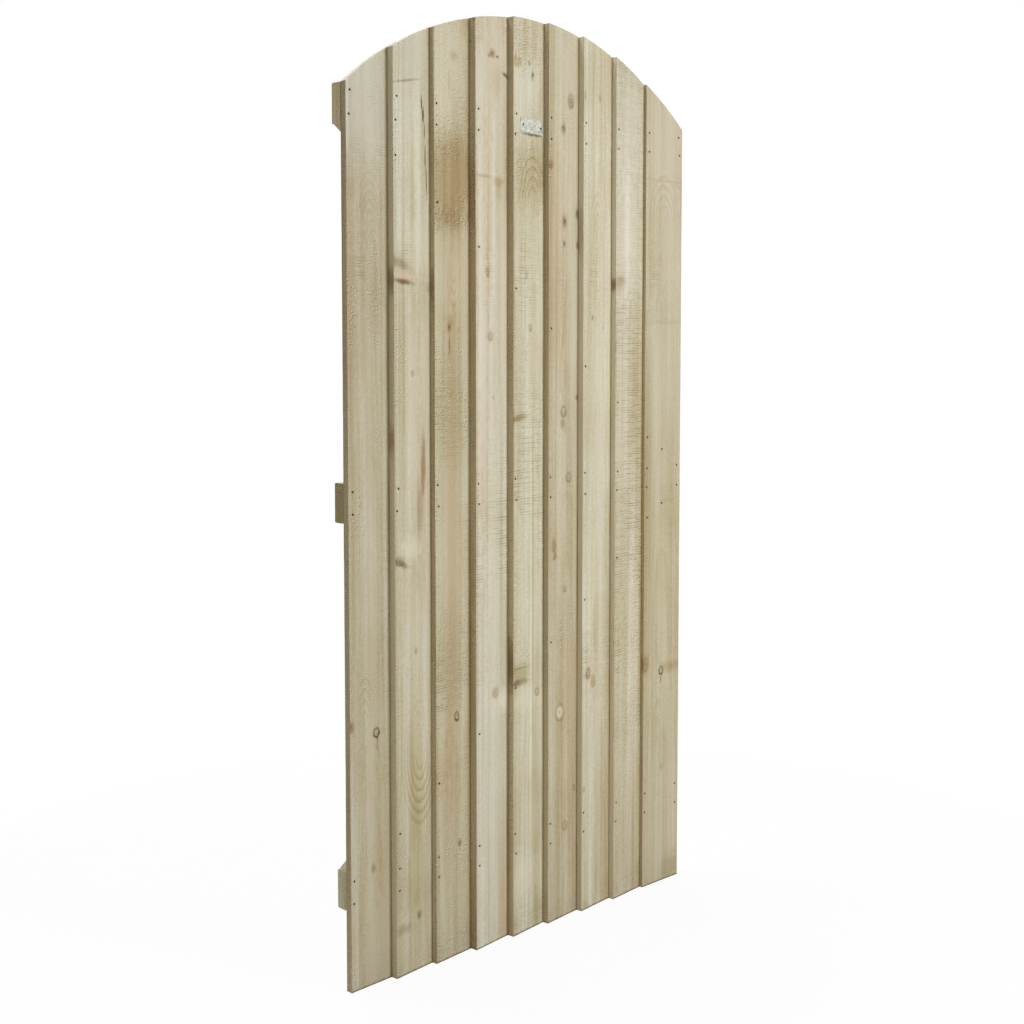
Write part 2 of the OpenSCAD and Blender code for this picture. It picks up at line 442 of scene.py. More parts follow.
# %% [markdown]
# ## The nine boards
# Each board is swept from its foot up to the arch. Its face is divided every few millimetres, and more
# finely round each nail, where the hammer has pressed the head just under the surface. The thick edge
# wanders by a hair along its length and its corner is chipped in places, as sawn softwood is.

# %% Arch and nails of a board
CROWN = cad_box[1].z
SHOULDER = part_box("top_ledge")[1].z
HALF_WIDTH = (cad_box[1].x - cad_box[0].x) / 2
RISE = CROWN - SHOULDER
ARCH_RADIUS = (HALF_WIDTH ** 2 + RISE ** 2) / (2 * RISE)
board_lefts = np.array([foot_corners(name)[0][0] for name in BOARDS])


def arch_height(x):
    """The height of the arched top at a place across the leaf."""
    return CROWN - ARCH_RADIUS + np.sqrt(ARCH_RADIUS ** 2 - np.clip(x, -HALF_WIDTH, HALF_WIDTH) ** 2)


def nails_in(index):
    """The nails whose heads lie on a board's face: the ones nearest to its own left edge."""
    owner = np.searchsorted(board_lefts, nails[:, 0]) - 1
    return nails[owner == index]


print("arch radius", round(ARCH_RADIUS, 3), "rise", round(RISE, 3))

# %% Sweep the boards
BOARD_ROUND = 0.7 * MM
FACE_STEP, EDGE_STEP, BACK_STEP, ROW_STEP = 4 * MM, 3 * MM, 12 * MM, 5.5 * MM
SAWN_DEPTH, TORN_DEPTH = 0.11 * MM, 0.3 * MM
EDGE_WANDER, EDGE_ROUGH, CHIP_DEPTH = 0.35 * MM, 0.1 * MM, 1.6 * MM
DIMPLE, DIMPLE_R, DIMPLE_SLOPE = 1.5 * MM, 2.9 * MM, 0.8 * MM


def board_relief(index, heads, left):
    """How deep each point of a board is pressed in."""
    def relief(side_of, places, along):
        across = np.broadcast_to(places[:, 0] - left, along.shape)
        face = (side_of == 0)[None, :]
        worn = SAWN_DEPTH * (1 + hills(across, along, (6 * MM, 40 * MM), 40 + index))
        torn = np.clip(hills(across, along, (45 * MM, 120 * MM), 60 + index), 0, 1)
        worn = worn + TORN_DEPTH * torn * (1 + hills(across, along, (5 * MM, 7 * MM), 80 + index)) / 2
        edge = EDGE_WANDER * (1 + hills(across * 0, along, (1, 170 * MM), 100 + index))
        through = places[None, :, 1] + along * 0
        edge = edge + EDGE_ROUGH * (1 + hills(through, along, (3 * MM, 9 * MM), 120 + index))
        chip = CHIP_DEPTH * np.clip(hills(across * 0, along, (1, 14 * MM), 140 + index) - 0.55, 0, 1)
        depth = np.where((side_of == 3)[None, :], edge, worn)
        depth = np.where((side_of == CORNER + 3)[None, :], edge + chip, depth)
        for x, _, z in heads:
            away = np.hypot(places[None, :, 0] - x, along - z)
            share = np.clip((DIMPLE_R - away) / DIMPLE_SLOPE, 0, 1)
            depth = np.where(face, np.maximum(depth, DIMPLE * share), depth)
        return depth
    return relief


def upright(flat, along):
    """A section on the ground, carried up."""
    return np.concatenate([flat, along[:, :, None]], axis=2)


board_pieces = []
for index, name in enumerate(BOARDS):
    corners = foot_corners(name)
    heads = nails_in(index)
    width = corners[1][0] - corners[0][0]
    feather = corners[2][1] - corners[1][1]
    thick = corners[3][1] - corners[0][1]
    columns = stops(width, FACE_STEP, heads[:, 0] - corners[0][0])
    side_stops = [columns, stops(feather, EDGE_STEP), stops(width, BACK_STEP), stops(thick, EDGE_STEP)]
    section = outline(corners, BOARD_ROUND, side_stops)
    tops = arch_height(section[0][:, 0])
    rows = row_places(tops * 0, tops, ROW_STEP, heads[:, 2])
    piece = sweep("timber_" + name, section, rows, upright, board_relief(index, heads, corners[0][0]))
    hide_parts(name)
    board_pieces.append(piece)
print("board faces:", [len(piece.data.polygons) for piece in board_pieces])

# %% [markdown]
# ## Ledges and braces
# The framing at the back is plain sawn batten. A ledge lies across, so its section is carried from left
# to right. A brace runs on the slant between two ledges, and both of its ends are cut level to bear on
# them.

# %% Sweep the ledges
LEDGE_ROUND = 2.5 * MM
BATTEN_ROUND = 1.0 * MM
THICK_STEP, TALL_STEP, LONG_STEP = 5 * MM, 6 * MM, 7 * MM
BATTEN_DEPTH, BATTEN_CHIP = 0.12 * MM, 0.5 * MM


def batten_relief(seed):
    """A gentle sawn surface for the framing."""
    def relief(side_of, places, along):
        spread = (places[:, 0] + places[:, 1])[None, :] + along * 0
        worn = BATTEN_DEPTH * (1 + hills(spread, along, (7 * MM, 45 * MM), seed))
        corner = BATTEN_CHIP * np.clip(hills(spread * 0, along, (1, 18 * MM), seed + 1) - 0.4, 0, 1)
        return worn + np.where((side_of >= CORNER)[None, :], corner, 0)
    return relief


def lying(flat, along):
    """A section of y and z, carried from left to right."""
    return np.stack([along, flat[:, :, 0], flat[:, :, 1]], axis=2)


framing_pieces = {}
for seed, name in enumerate(LEDGES):
    low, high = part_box(name)
    corners = np.array([(low.y, low.z), (high.y, low.z), (high.y, high.z), (low.y, high.z)])
    thick, tall = high.y - low.y, high.z - low.z
    section = outline(corners, LEDGE_ROUND, [stops(thick, THICK_STEP), stops(tall, TALL_STEP)] * 2)
    ones = np.ones(len(section[0]))
    rows = row_places(low.x * ones, high.x * ones, LONG_STEP, ())
    framing_pieces[name] = sweep("timber_" + name, section, rows, lying, batten_relief(200 + 7 * seed))
print("ledges:", LEDGES)

# %% Sweep the braces
def slanting(middle_of, along_dir, up_dir):
    """A section of y and a distance square to the brace, carried along the slant."""
    def to_world(flat, along):
        carried = along[:, :, None] * along_dir + flat[:, :, 1:] * up_dir + middle_of
        carried[:, :, 1] = flat[:, :, 0]
        return carried
    return to_world


brace_slopes = {}
for seed, name in enumerate(BRACES):
    low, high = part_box(name)
    points = points_of(name)
    top = points[points[:, 2] > high.z - 0.01 * MM]
    cut = top[:, 0].max() - top[:, 0].min()
    rises = top[:, 0].mean() > (low.x + high.x) / 2
    slope = math.atan2(high.z - low.z, high.x - low.x - cut)
    wide = cut * math.sin(slope)
    tilt = slope if rises else -slope
    along_dir = np.array([math.cos(tilt), 0, math.sin(tilt)])
    up_dir = np.array([-math.sin(tilt), 0, math.cos(tilt)])
    corners = np.array([(low.y, -wide / 2), (high.y, -wide / 2), (high.y, wide / 2), (low.y, wide / 2)])
    side_stops = [stops(high.y - low.y, THICK_STEP), stops(wide, TALL_STEP)] * 2
    section = outline(corners, BATTEN_ROUND, side_stops)
    half = (high.z - low.z) / 2
    lift = section[0][:, 1] * math.cos(slope)
    ends = [(side * half - lift) / math.sin(tilt) for side in (-1, 1)]
    rows = row_places(np.minimum(*ends), np.maximum(*ends), LONG_STEP, ())
    middle_of = np.array((low + high) / 2)
    to_world = slanting(middle_of, along_dir, up_dir)
    framing_pieces[name] = sweep("timber_" + name, section, rows, to_world, batten_relief(300 + 7 * seed))
    brace_slopes[name] = tilt
for name, piece in framing_pieces.items():
    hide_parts(name)
print("braces:", {name: round(math.degrees(tilt), 1) for name, tilt in brace_slopes.items()})

# %% [markdown]
# ## Effects that the finishes share
# Each thing that happens to a softwood surface is one node group: the growth rings that the saw has cut
# through, the fibres, the lines of the saw teeth, torn grain, knots, stains, and the nested arches that
# rings make where the saw cuts them on the slant. A group only gives out colours, masks or values. All
# of them read one place on the timber, in millimetres: across, through and along.

# %% Group helpers
SOCKETS = {"VECTOR": "NodeSocketVector", "RGBA": "NodeSocketColor", "VALUE": "NodeSocketFloat"}


def effect(name, values="", colours=""):
    """A new shader group, the place that it reads, and its other inputs by name."""
    tree = bpy.data.node_groups.new(name, "ShaderNodeTree")
    kinds = {"place": "VECTOR"}
    kinds.update(dict.fromkeys(colours.split(), "RGBA"))
    kinds.update(dict.fromkeys(values.split(), "VALUE"))
    for label, kind in kinds.items():
        tree.interface.new_socket(label, in_out="INPUT", socket_type=SOCKETS[kind])
    sockets = tree.nodes.new("NodeGroupInput").outputs
    given = {label: sockets[label] for label in kinds}
    return tree, given.pop("place"), given


def give(tree, **results):
    """Finish a group: name what it puts out."""
    for label, socket in results.items():
        tree.interface.new_socket(label, in_out="OUTPUT", socket_type=SOCKETS[socket.type])
    last = tree.nodes.new("NodeGroupOutput")
    for label, socket in results.items():
        tree.links.new(socket, last.inputs[label])
    return tree


def use(tree, group, **inputs):
    """Put a group into a tree and return its outputs."""
    return add(tree, "ShaderNodeGroup", inputs, node_tree=group).outputs


def apart(tree, place):
    """The three parts of a place."""
    return add(tree, "ShaderNodeSeparateXYZ", {0: place}).outputs


def waves(tree, place, cell, detail=1.0, rough=0.5):
    """A noise from 0 to 1, with cells of a size in millimetres."""
    return noise(tree, stretched(tree, place, cell), detail, rough).outputs[0]


def field(tree, place, cell, low, high, detail=1.0, rough=0.5):
    """The same noise, sharpened between two levels."""
    return between(tree, waves(tree, place, cell, detail, rough), low, high)


def shade(tree, colour, mask, share, tone):
    """A colour darkened towards its product with a tone, where a mask says and by a share of it."""
    return mix(tree, times(tree, mask, share), colour, srgb(*tone), "MULTIPLY")


def slant(tree, first, second):
    """The length of the slant over two sides that are square to each other."""
    return calc(tree, "SQRT", plus(tree, times(tree, first, first), times(tree, second, second)))


def from_mark(tree, place, given):
    """How far a place lies to the right of a mark's middle, and how far above it."""
    across, _, along = apart(tree, place)
    return minus(tree, across, given["across"]), minus(tree, along, given["height"])


def on_oval(tree, beside, above, half_width, half_height):
    """How far out on an oval a place lies, 0 in the middle and 1 on the rim, and how far up on it."""
    up = calc(tree, "DIVIDE", above, half_height)
    return slant(tree, calc(tree, "DIVIDE", beside, half_width), up), up


print("group helpers ready")

# %% Growth rings
RING_BEND = (120, 120, 430)
RING_RIPPLE = (18, 18, 110)
RING_RIPPLE_MM = 2.6

tree, place, given = effect("growth_rings", "pith_across pith_depth ring wander taper push")
across, depth, along = apart(tree, place)
from_pith = slant(tree, minus(tree, across, given["pith_across"]), minus(tree, depth, given["pith_depth"]))
slow = times(tree, minus(tree, waves(tree, place, RING_BEND), 0.5), given["wander"])
quick = times(tree, minus(tree, waves(tree, place, RING_RIPPLE), 0.5), RING_RIPPLE_MM)
grown = plus(tree, plus(tree, from_pith, slow), plus(tree, quick, given["push"]))
grown = times_plus(tree, along, given["taper"], grown)
years = calc(tree, "DIVIDE", grown, given["ring"])
season = calc(tree, "FRACT", years)
late = times(tree, between(tree, season, 0.35, 0.9), between(tree, season, 1.0, 0.92))
year = point(tree, times(tree, calc(tree, "FLOOR", years), 0.71), 0.0, 0.0)
vigour = between(tree, noise(tree, year, 0.0).outputs[0], 0.25, 0.8)
GROWTH_RINGS = give(tree, late=times(tree, late, times_plus(tree, vigour, 0.75, 0.25)))
print("growth rings ready")

# %% Fibres and soft bands of colour
tree, place, given = effect("fibres")
fine = field(tree, place, (1.5, 1.5, 55), 0.28, 0.72)
broad = field(tree, place, (7, 7, 420), 0.3, 0.7)
streak = field(tree, place, (3.4, 3.4, 300), 0.34, 0.66)
FIBRES = give(tree, fine=fine, broad=broad, streak=streak)

tree, place, given = effect("colour_bands", "seed")
shift = point(tree, times(tree, given["seed"], 71.0), 0.0, times(tree, given["seed"], 913.0))
moved = vector(tree, "ADD", place, shift)
first = field(tree, moved, (27, 27, 1100), 0.34, 0.66, 0.6)
second = field(tree, stretched(tree, moved, (1, 1, -1)), (36, 36, 700), 0.48, 0.78, 0.6)
third = field(tree, stretched(tree, moved, (-1, 1, 1)), (11, 11, 900), 0.36, 0.64, 0.6)
cloud = field(tree, moved, (55, 55, 130), 0.3, 0.7)
COLOUR_BANDS = give(tree, first=first, second=second, third=third, cloud=cloud)
print("fibres and bands ready")

# %% Saw lines and torn grain
SAW_PITCH = 5.2
FLECK = (4.8, 4.8, 2.9)
FLECK_BESIDE = (1.4, 0, -1.6)

tree, place, given = effect("saw_lines", "amount")
wobble = times(tree, waves(tree, place, (90, 90, 130)), 1.5)
teeth = calc(tree, "FRACT", times_plus(tree, apart(tree, place)[2], 1 / SAW_PITCH, wobble))
strokes = between(tree, calc(tree, "ABSOLUTE", minus(tree, teeth, 0.5)), 0.22, 0.46)
broken = field(tree, place, (48, 48, 6), 0.40, 0.58)
patch = between(tree, plus(tree, waves(tree, place, (70, 70, 150)), given["amount"]), 0.68, 1.05)
ripple = field(tree, place, (14, 14, 2.6), 0.36, 0.64)
ripple = times(tree, ripple, times_plus(tree, patch, 0.65, 0.35))
SAW_LINES = give(tree, lines=times(tree, strokes, times(tree, broken, patch)), ripple=ripple)

tree, place, given = effect("torn_grain", "amount")
beside = vector(tree, "ADD", place, FLECK_BESIDE)
patch = between(tree, plus(tree, waves(tree, place, (44, 44, 100)), given["amount"]), 0.74, 1.02)
flecks = [times(tree, field(tree, spot, FLECK, 0.56, 0.68, 2.0, 0.6), patch) for spot in (place, beside)]
TORN_GRAIN = give(tree, pits=flecks[0], tufts=flecks[1])
print("saw lines and torn grain ready")

# %% Knots
tree, place, given = effect("knot", "across height radius tall dark ring blush core heart rim halo push")
tall = times(tree, given["radius"], given["tall"])
away, up = on_oval(tree, *from_mark(tree, place, given), given["radius"], tall)
lower_side = times_plus(tree, between(tree, up, 0.6, -0.6), 0.35, 0.65)
rim = times(tree, between(tree, away, 0.55, 0.85), between(tree, away, 1.35, 1.08))
shares = {"core": times(tree, between(tree, away, 0.9, 0.3), given["dark"]),
          "heart": times(tree, between(tree, away, 0.95, 0.5), given["ring"]),
          "rim": times(tree, times(tree, rim, lower_side), given["ring"]),
          "halo": times(tree, between(tree, away, 2.4, 0.6), given["blush"])}
most = {label: calc(tree, "MAXIMUM", given[label], share) for label, share in shares.items()}
fall = times_plus(tree, times(tree, away, away), 0.25, 1.0)
swell = calc(tree, "DIVIDE", times(tree, given["radius"], 1.6), fall)
KNOT = give(tree, push=plus(tree, given["push"], swell), **most)
print("knots ready")

# %% Stains and arched figure
tree, place, given = effect("stain", "across height half_width half_height soft lean ragged")
beside, above = from_mark(tree, place, given)
above = times_plus(tree, beside, given["lean"], above)
away, up = on_oval(tree, beside, above, given["half_width"], given["half_height"])
away = plus(tree, away, times_plus(tree, given["ragged"], 0.9, -0.45))
inside = minus(tree, 1.0, given["soft"])
outside = times_plus(tree, given["soft"], 0.5, 1.0)
STAIN = give(tree, mask=minus(tree, 1.0, between(tree, away, inside, outside)))

tree, place, given = effect("arched_figure", "across height half_width half_height rings way")
away, up = on_oval(tree, *from_mark(tree, place, given), given["half_width"], given["half_height"])
season = calc(tree, "FRACT", times(tree, away, given["rings"]))
lines = times(tree, between(tree, season, 0.3, 0.9), between(tree, season, 1.0, 0.9))
reach = times(tree, between(tree, away, 1.05, 0.7), between(tree, away, 0.08, 0.3))
end = between(tree, times(tree, up, given["way"]), -0.3, 0.4)
ARCHED_FIGURE = give(tree, lines=times(tree, lines, times(tree, reach, end)))
print("effects:", [group.name for group in bpy.data.node_groups])

# %% [markdown]
# ## The wood itself
# One group lays these effects over each other in the order they happen to a board: the tree grows its
# rings, the stock dries in soft bands of colour, the saw leaves lines and tears. It gives out a colour
# and a height in millimetres. Each finish then adds its own knots and stains and ends in its own shader.

# %% Sawn softwood
GROWTH_WORDS = "pith_across pith_depth ring wander taper push"

tree, place, given = effect("sawn_softwood", GROWTH_WORDS + " figure saw torn seed", "main pale deep")
growth = {word: given[word] for word in GROWTH_WORDS.split()}
late = use(tree, GROWTH_RINGS, place=place, **growth)["late"]
fibre = use(tree, FIBRES, place=place)
bands = use(tree, COLOUR_BANDS, place=place, seed=given["seed"])
saw = use(tree, SAW_LINES, place=place, amount=given["saw"])
torn = use(tree, TORN_GRAIN, place=place, amount=given["torn"])
mottle = field(tree, place, (3.8, 3.8, 6), 0.32, 0.68, 2.0, 0.6)
layers = [(bands["third"], 0.45, (236, 228, 212)),
          (bands["cloud"], 0.4, (238, 232, 216)),
          (late, given["figure"], (210, 196, 160)),
          (times(tree, fibre["fine"], fibre["broad"]), 0.22, (224, 216, 196)),
          (times(tree, fibre["streak"], fibre["broad"]), 0.34, (226, 216, 196)),
          (mottle, 0.36, (226, 220, 204)),
          (saw["ripple"], 0.4, (228, 222, 206)),
          (saw["lines"], 0.75, (196, 182, 152)),
          (torn["pits"], 0.8, (150, 130, 98))]
colour = mix(tree, bands["first"], given["main"], given["pale"])
colour = mix(tree, bands["second"], colour, given["deep"])
for mask, share, tone in layers:
    colour = shade(tree, colour, mask, share, tone)
colour = mix(tree, times(tree, torn["tufts"], 0.62), colour, srgb(232, 227, 206))
height = times(tree, fibre["fine"], 0.05)
rises = [(saw["ripple"], -0.08), (saw["lines"], -0.16), (torn["tufts"], 0.3), (torn["pits"], -0.45)]
for mask, rise in rises:
    height = times_plus(tree, mask, rise, height)
SAWN_SOFTWOOD = give(tree, colour=colour, height=height)
print("wood ready")

# %% [markdown]
# ## A finish for each board
# The nine boards come from different logs, so each has its own tones, its own distance from the pith,
# and its own knots and marks. The table below reads like a grader's sheet. Places are in millimetres
# from the board's left edge and from its foot. A rough place is (kind, across, height, half width, half
# height, how much): it has more torn grain, saw lines or figure than the rest of the board, or less
# where the last number is below zero. A knot is (across, height, radius, how many times taller than
# wide, and then from 0 to 1: how dark its heart is, how clear its ring, how pink the wood round it). A
# stain is (across, height, half width, half height, softness, strength, colour), and one more number
# where it leans; it darkens what it lies on. A patch is the same, but covers what it lies on. An arch is
# (across, height, half width, half height, how many rings, 1 where it points up or -1 where it points
# down, strength, colour).

# %% Board sheet
BOARD_SHEET = [
    dict(tones=((192, 185, 161), (205, 204, 188), (182, 166, 137)), pith=(52, 26), ring=5.0, wander=26,
         taper=0.045, saw=0.14, torn=0.26,
         rough=[("torn", 64, 1270, 20, 90, 0.6), ("saw", 50, 1505, 60, 60, 0.3),
                ("torn", 10, 1250, 12, 80, 0.3), ("saw", 45, 620, 60, 160, -0.2)],
         knots=[(2, 487, 6, 1.4, 0.8, 0.5, 0.9), (63, 468, 7, 1.2, 0.5, 1.0, 0.3),
                (54, 218, 4, 1.8, 0.8, 0.3, 0.5)],
         stains=[(68, 1270, 20, 80, 0.9, 0.35, (222, 204, 176)),
                 (48, 1430, 26, 70, 0.9, 0.2, (222, 206, 176)),
                 (60, 620, 30, 120, 0.9, 0.22, (222, 208, 180)),
                 (30, 60, 60, 120, 0.9, 0.2, (222, 208, 180)),
                 (14, 1000, 16, 260, 0.9, 0.2, (226, 218, 196)),
                 (65, 448, 1.6, 14, 0.8, 0.6, (160, 140, 108)),
                 (8, 1445, 14, 24, 0.9, 0.4, (226, 204, 180))],
         arches=[(54, 1380, 38, 120, 7, 1, 0.24, (206, 190, 150)),
                 (62, 1330, 28, 85, 5, 1, 0.2, (206, 190, 150)),
                 (36, 475, 32, 120, 6, 1, 0.26, (206, 190, 150))],
         patches=[(4, 1580, 5, 85, 0.8, 0.6, (204, 210, 202)),
                  (5, 330, 5, 160, 0.9, 0.45, (200, 200, 190)),
                  # Painted sheen: a paler band down the middle of the face.
                  (50, 900, 15, 1500, 0.9, 0.4, (200, 193, 170)),
                  (45, 1640, 90, 260, 0.9, 0.5, (203, 201, 188)),
                  (70, 60, 50, 130, 0.9, 0.5, (194, 187, 166))]),
    dict(tones=((197, 190, 164), (210, 208, 193), (186, 176, 142)), pith=(46, 30), ring=6.5, wander=34,
         taper=0.03, saw=0.14, torn=0.18,
         rough=[("torn", 24, 1110, 26, 120, 0.3), ("torn", 20, 215, 24, 60, 0.3),
                ("saw", 45, 1344, 45, 12, 0.15), ("saw", 45, 350, 60, 200, -0.2),
                ("torn", 60, 350, 40, 160, -0.2)],
         knots=[(48, 1121, 4, 1.3, 0.6, 0.3, 0.1), (12, 778, 9, 0.9, 0.5, 0.4, 0.3),
                (61, 104, 5, 1.4, 1.0, 0.5, 0.4), (54, 607, 3.5, 1.6, 0.5, 0.4, 0.2),
                (92, 1278, 5, 1.4, 0.3, 0.3, 0.3)],
         stains=[(34, 1647, 36, 3, 0.8, 0.6, (176, 158, 122), -0.2),
                 (30, 1700, 50, 60, 0.9, 0.25, (226, 224, 206)),
                 (75, 1612, 1.9, 15, 0.8, 0.85, (132, 100, 70)),
                 (79, 1590, 2.6, 15, 0.8, 1.0, (112, 82, 56)),
                 (82, 1562, 2, 17, 0.8, 0.9, (126, 96, 66)),
                 (84, 1518, 1.8, 24, 0.8, 0.85, (132, 102, 72)),
                 (87, 1466, 1.8, 34, 0.8, 0.8, (140, 112, 82)),
                 (76, 950, 7, 62, 0.8, 0.8, (190, 160, 134)),
                 (67, 875, 10, 55, 0.8, 0.6, (208, 182, 160)),
                 (52, 150, 60, 40, 0.8, 0.3, (215, 203, 175)),
                 (10, 1322, 30, 16, 0.9, 0.45, (206, 198, 172)),
                 (84, 1600, 14, 160, 0.9, 0.3, (220, 210, 190)),
                 (20, 250, 22, 260, 0.9, 0.15, (224, 216, 194)),
                 (24, 1287, 30, 5.5, 0.8, 0.85, (150, 116, 84), 0.1),
                 (20, 1318, 36, 9, 0.8, 0.5, (198, 186, 158), 0.35),
                 (16, 774, 22, 7, 0.8, 0.65, (136, 118, 88), 0.4),
                 (62, 330, 22, 120, 0.9, 0.3, (226, 214, 170)),
                 (18, 88, 24, 11, 0.7, 0.45, (190, 176, 134))],
         arches=[(64, 420, 58, 165, 8, -1, 0.5, (208, 190, 136)),
                 (60, 430, 26, 110, 5, 1, 0.25, (214, 200, 156))],
         patches=[(60, 1345, 40, 60, 0.8, 0.35, (214, 207, 188)),
                  (80, 900, 12, 170, 0.9, 0.3, (212, 196, 174)),
                  (40, 800, 28, 26, 0.8, 0.5, (216, 210, 190)),
                  (50, 1700, 28, 130, 0.9, 0.5, (208, 206, 196)),
                  (50, 1050, 20, 220, 0.9, 0.5, (210, 203, 184)),
                  (78, 1120, 14, 100, 0.9, 0.4, (206, 202, 182)),
                  (50, 620, 22, 180, 0.9, 0.35, (204, 198, 176)),
                  (24, 1299, 30, 9, 0.8, 0.55, (204, 176, 150), 0.2),
                  (64, 1420, 8, 150, 0.9, 0.4, (222, 220, 202)),
                  (60, 1560, 12, 110, 0.9, 0.4, (216, 212, 192))]),
    dict(tones=((191, 182, 156), (204, 200, 178), (180, 160, 124)), pith=(40, 22), ring=5.5, wander=30,
         taper=0.04, saw=0.22, torn=0.30,
         rough=[("torn", 42, 1411, 60, 26, 0.5), ("torn", 42, 1062, 50, 95, 0.6),
                ("torn", 42, 590, 46, 120, 0.6), ("torn", 50, 1560, 44, 80, 0.2),
                ("torn", 60, 190, 40, 110, 0.3), ("saw", 36, 1040, 50, 110, 0.5),
                ("saw", 46, 1290, 70, 85, -0.35), ("torn", 46, 1290, 70, 80, -0.35),
                ("torn", 50, 1710, 60, 80, 0.15), ("saw", 34, 550, 44, 80, 0.5)],
         knots=[(39, 1206, 4, 1.6, 0.9, 0.3, 0.8), (58, 466, 6, 1.5, 0.6, 1.0, 0.2),
                (65, 218, 4, 1.5, 0.9, 0.3, 1.0)],
         stains=[(44, 1470, 80, 95, 0.6, 0.42, (224, 204, 170)),
                 (54, 1706, 12, 10, 0.9, 0.4, (190, 174, 140)),
                 (41, 1660, 4, 26, 0.9, 0.35, (190, 174, 140)),
                 (40, 1172, 2, 20, 0.7, 0.7, (160, 130, 95)),
                 (42, 1406, 60, 20, 0.8, 0.35, (212, 192, 156)),
                 (42, 1050, 60, 95, 0.8, 0.2, (222, 206, 176)),
                 (42, 590, 50, 110, 0.8, 0.25, (216, 198, 168)),
                 (44, 1485, 90, 90, 0.5, 0.42, (214, 190, 150))],
         arches=[(52, 1330, 26, 110, 5, -1, 0.3, (206, 190, 150))],
         patches=[(60, 1280, 16, 60, 0.9, 0.35, (198, 192, 162)),
                  (30, 1620, 22, 60, 0.9, 0.35, (204, 198, 174)),
                  (46, 760, 34, 520, 0.9, 0.65, (188, 177, 147)),
                  (50, 1710, 80, 110, 0.9, 0.65, (200, 194, 170)),
                  (48, 1300, 60, 75, 0.7, 0.4, (197, 185, 158)),
                  (40, 200, 30, 170, 0.9, 0.35, (192, 184, 158))]),
    dict(tones=((206, 202, 184), (217, 218, 206), (203, 186, 158)), pith=(-95, 40), ring=4.0, wander=14,
         taper=0.03, saw=0.36, torn=0.12,
         rough=[("saw", 50, 1400, 70, 460, -0.14), ("saw", 45, 1050, 60, 160, 0.05),
                ("saw", 50, 250, 110, 420, -0.32), ("figure", 60, 1240, 30, 120, 0.15)],
         knots=[(50, 1722, 7, 0.9, 1.0, 0.3, 1.0), (64, 1718, 4, 0.8, 1.0, 0.2, 0.6),
                (40, 1718, 4, 0.8, 0.8, 0.2, 0.6), (35, 1311, 5, 1.5, 0.5, 0.5, 0.3),
                (43, 1189, 6.5, 1.1, 0.3, 0.4, 0.7), (58, 496, 7, 1.2, 0.3, 0.3, 0.9),
                (52, 1072, 3, 1.5, 0.5, 0.2, 0.1)],
         stains=[(69, 1469, 12, 26, 0.8, 0.45, (220, 204, 166)),
                 (62, 1672, 16, 34, 0.9, 0.35, (218, 194, 166)),
                 (88, 1687, 11, 5, 0.8, 0.85, (128, 116, 92), 0.35),
                 (22, 1491, 26, 4, 0.8, 0.5, (206, 190, 146)),
                 (69, 1484, 16, 10, 0.7, 0.4, (206, 188, 146)),
                 (84, 660, 16, 90, 0.9, 0.25, (226, 214, 186))],
         patches=[(80, 1250, 16, 220, 0.9, 0.4, (208, 194, 168)),
                  (12, 1200, 8, 500, 0.9, 0.3, (222, 219, 204)),
                  (82, 480, 22, 26, 0.8, 0.5, (226, 220, 202)),
                  (20, 1200, 18, 460, 0.9, 0.6, (214, 211, 197)),
                  # Painted sheen: a paler band down the middle of the face.
                  (52, 1000, 15, 800, 0.9, 0.45, (212, 206, 188)),
                  (50, 1700, 70, 110, 0.9, 0.4, (204, 199, 184)),
                  (72, 1420, 8, 260, 0.9, 0.45, (192, 184, 164)),
                  (54, 1420, 4, 220, 0.9, 0.4, (220, 216, 198)),
                  (60, 260, 60, 240, 0.9, 0.25, (192, 187, 164))]),
    dict(tones=((204, 200, 177), (215, 214, 199), (186, 176, 142)), pith=(55, 28), ring=5.5, wander=30,
         taper=0.045, saw=0.26, torn=0.20,
         rough=[("torn", 45, 1762, 70, 36, 0.25), ("torn", 40, 1510, 50, 60, 0.4),
                ("saw", 40, 1010, 60, 160, 0.3), ("saw", 50, 420, 60, 300, -0.2),
                ("torn", 50, 1720, 60, 50, 0.2)],
         knots=[(60, 1694, 5, 1.9, 1.0, 0.2, 0.1), (50, 1716, 3, 2.0, 0.8, 0.2, 0.1),
                (41, 1309, 4, 1.8, 0.5, 0.4, 0.0), (54, 1206, 4.5, 1.6, 0.4, 0.5, 0.1),
                (76, 480, 5.5, 1.3, 0.3, 0.45, 0.8)],
         stains=[(45, 1772, 110, 60, 0.5, 0.28, (218, 204, 174)),
                 (10, 1714, 14, 12, 0.3, 0.6, (208, 186, 146)),
                 (49, 1500, 60, 75, 0.8, 0.55, (212, 198, 164)),
                 (14, 1030, 30, 8, 0.8, 0.7, (180, 158, 118), -0.1),
                 (24, 526, 32, 22, 0.6, 0.55, (204, 194, 152)),
                 (20, 508, 32, 7, 0.7, 0.55, (166, 150, 110)),
                 (50, 240, 90, 90, 0.3, 0.25, (220, 208, 178)),
                 # Painted shadow: a dark line on the wood just under the tag's lifted lower edge.
                 (57, 1580, 34, 3, 0.6, 0.75, (140, 124, 94)),
                 (14, 1150, 18, 500, 0.9, 0.35, (222, 214, 192)),
                 (80, 1560, 24, 110, 0.9, 0.45, (216, 203, 174)),
                 (6, 506, 14, 8, 0.8, 0.45, (150, 132, 98)),
                 (20, 536, 30, 2, 0.7, 0.5, (176, 158, 118)),
                 (86, 1670, 7, 60, 0.9, 0.4, (224, 200, 180)),
                 (62, 600, 2.5, 500, 0.9, 0.4, (206, 192, 158))],
         arches=[(60, 1445, 50, 115, 6, 1, 0.42, (204, 188, 146))],
         patches=[(50, 110, 70, 45, 0.7, 0.35, (214, 208, 188)),
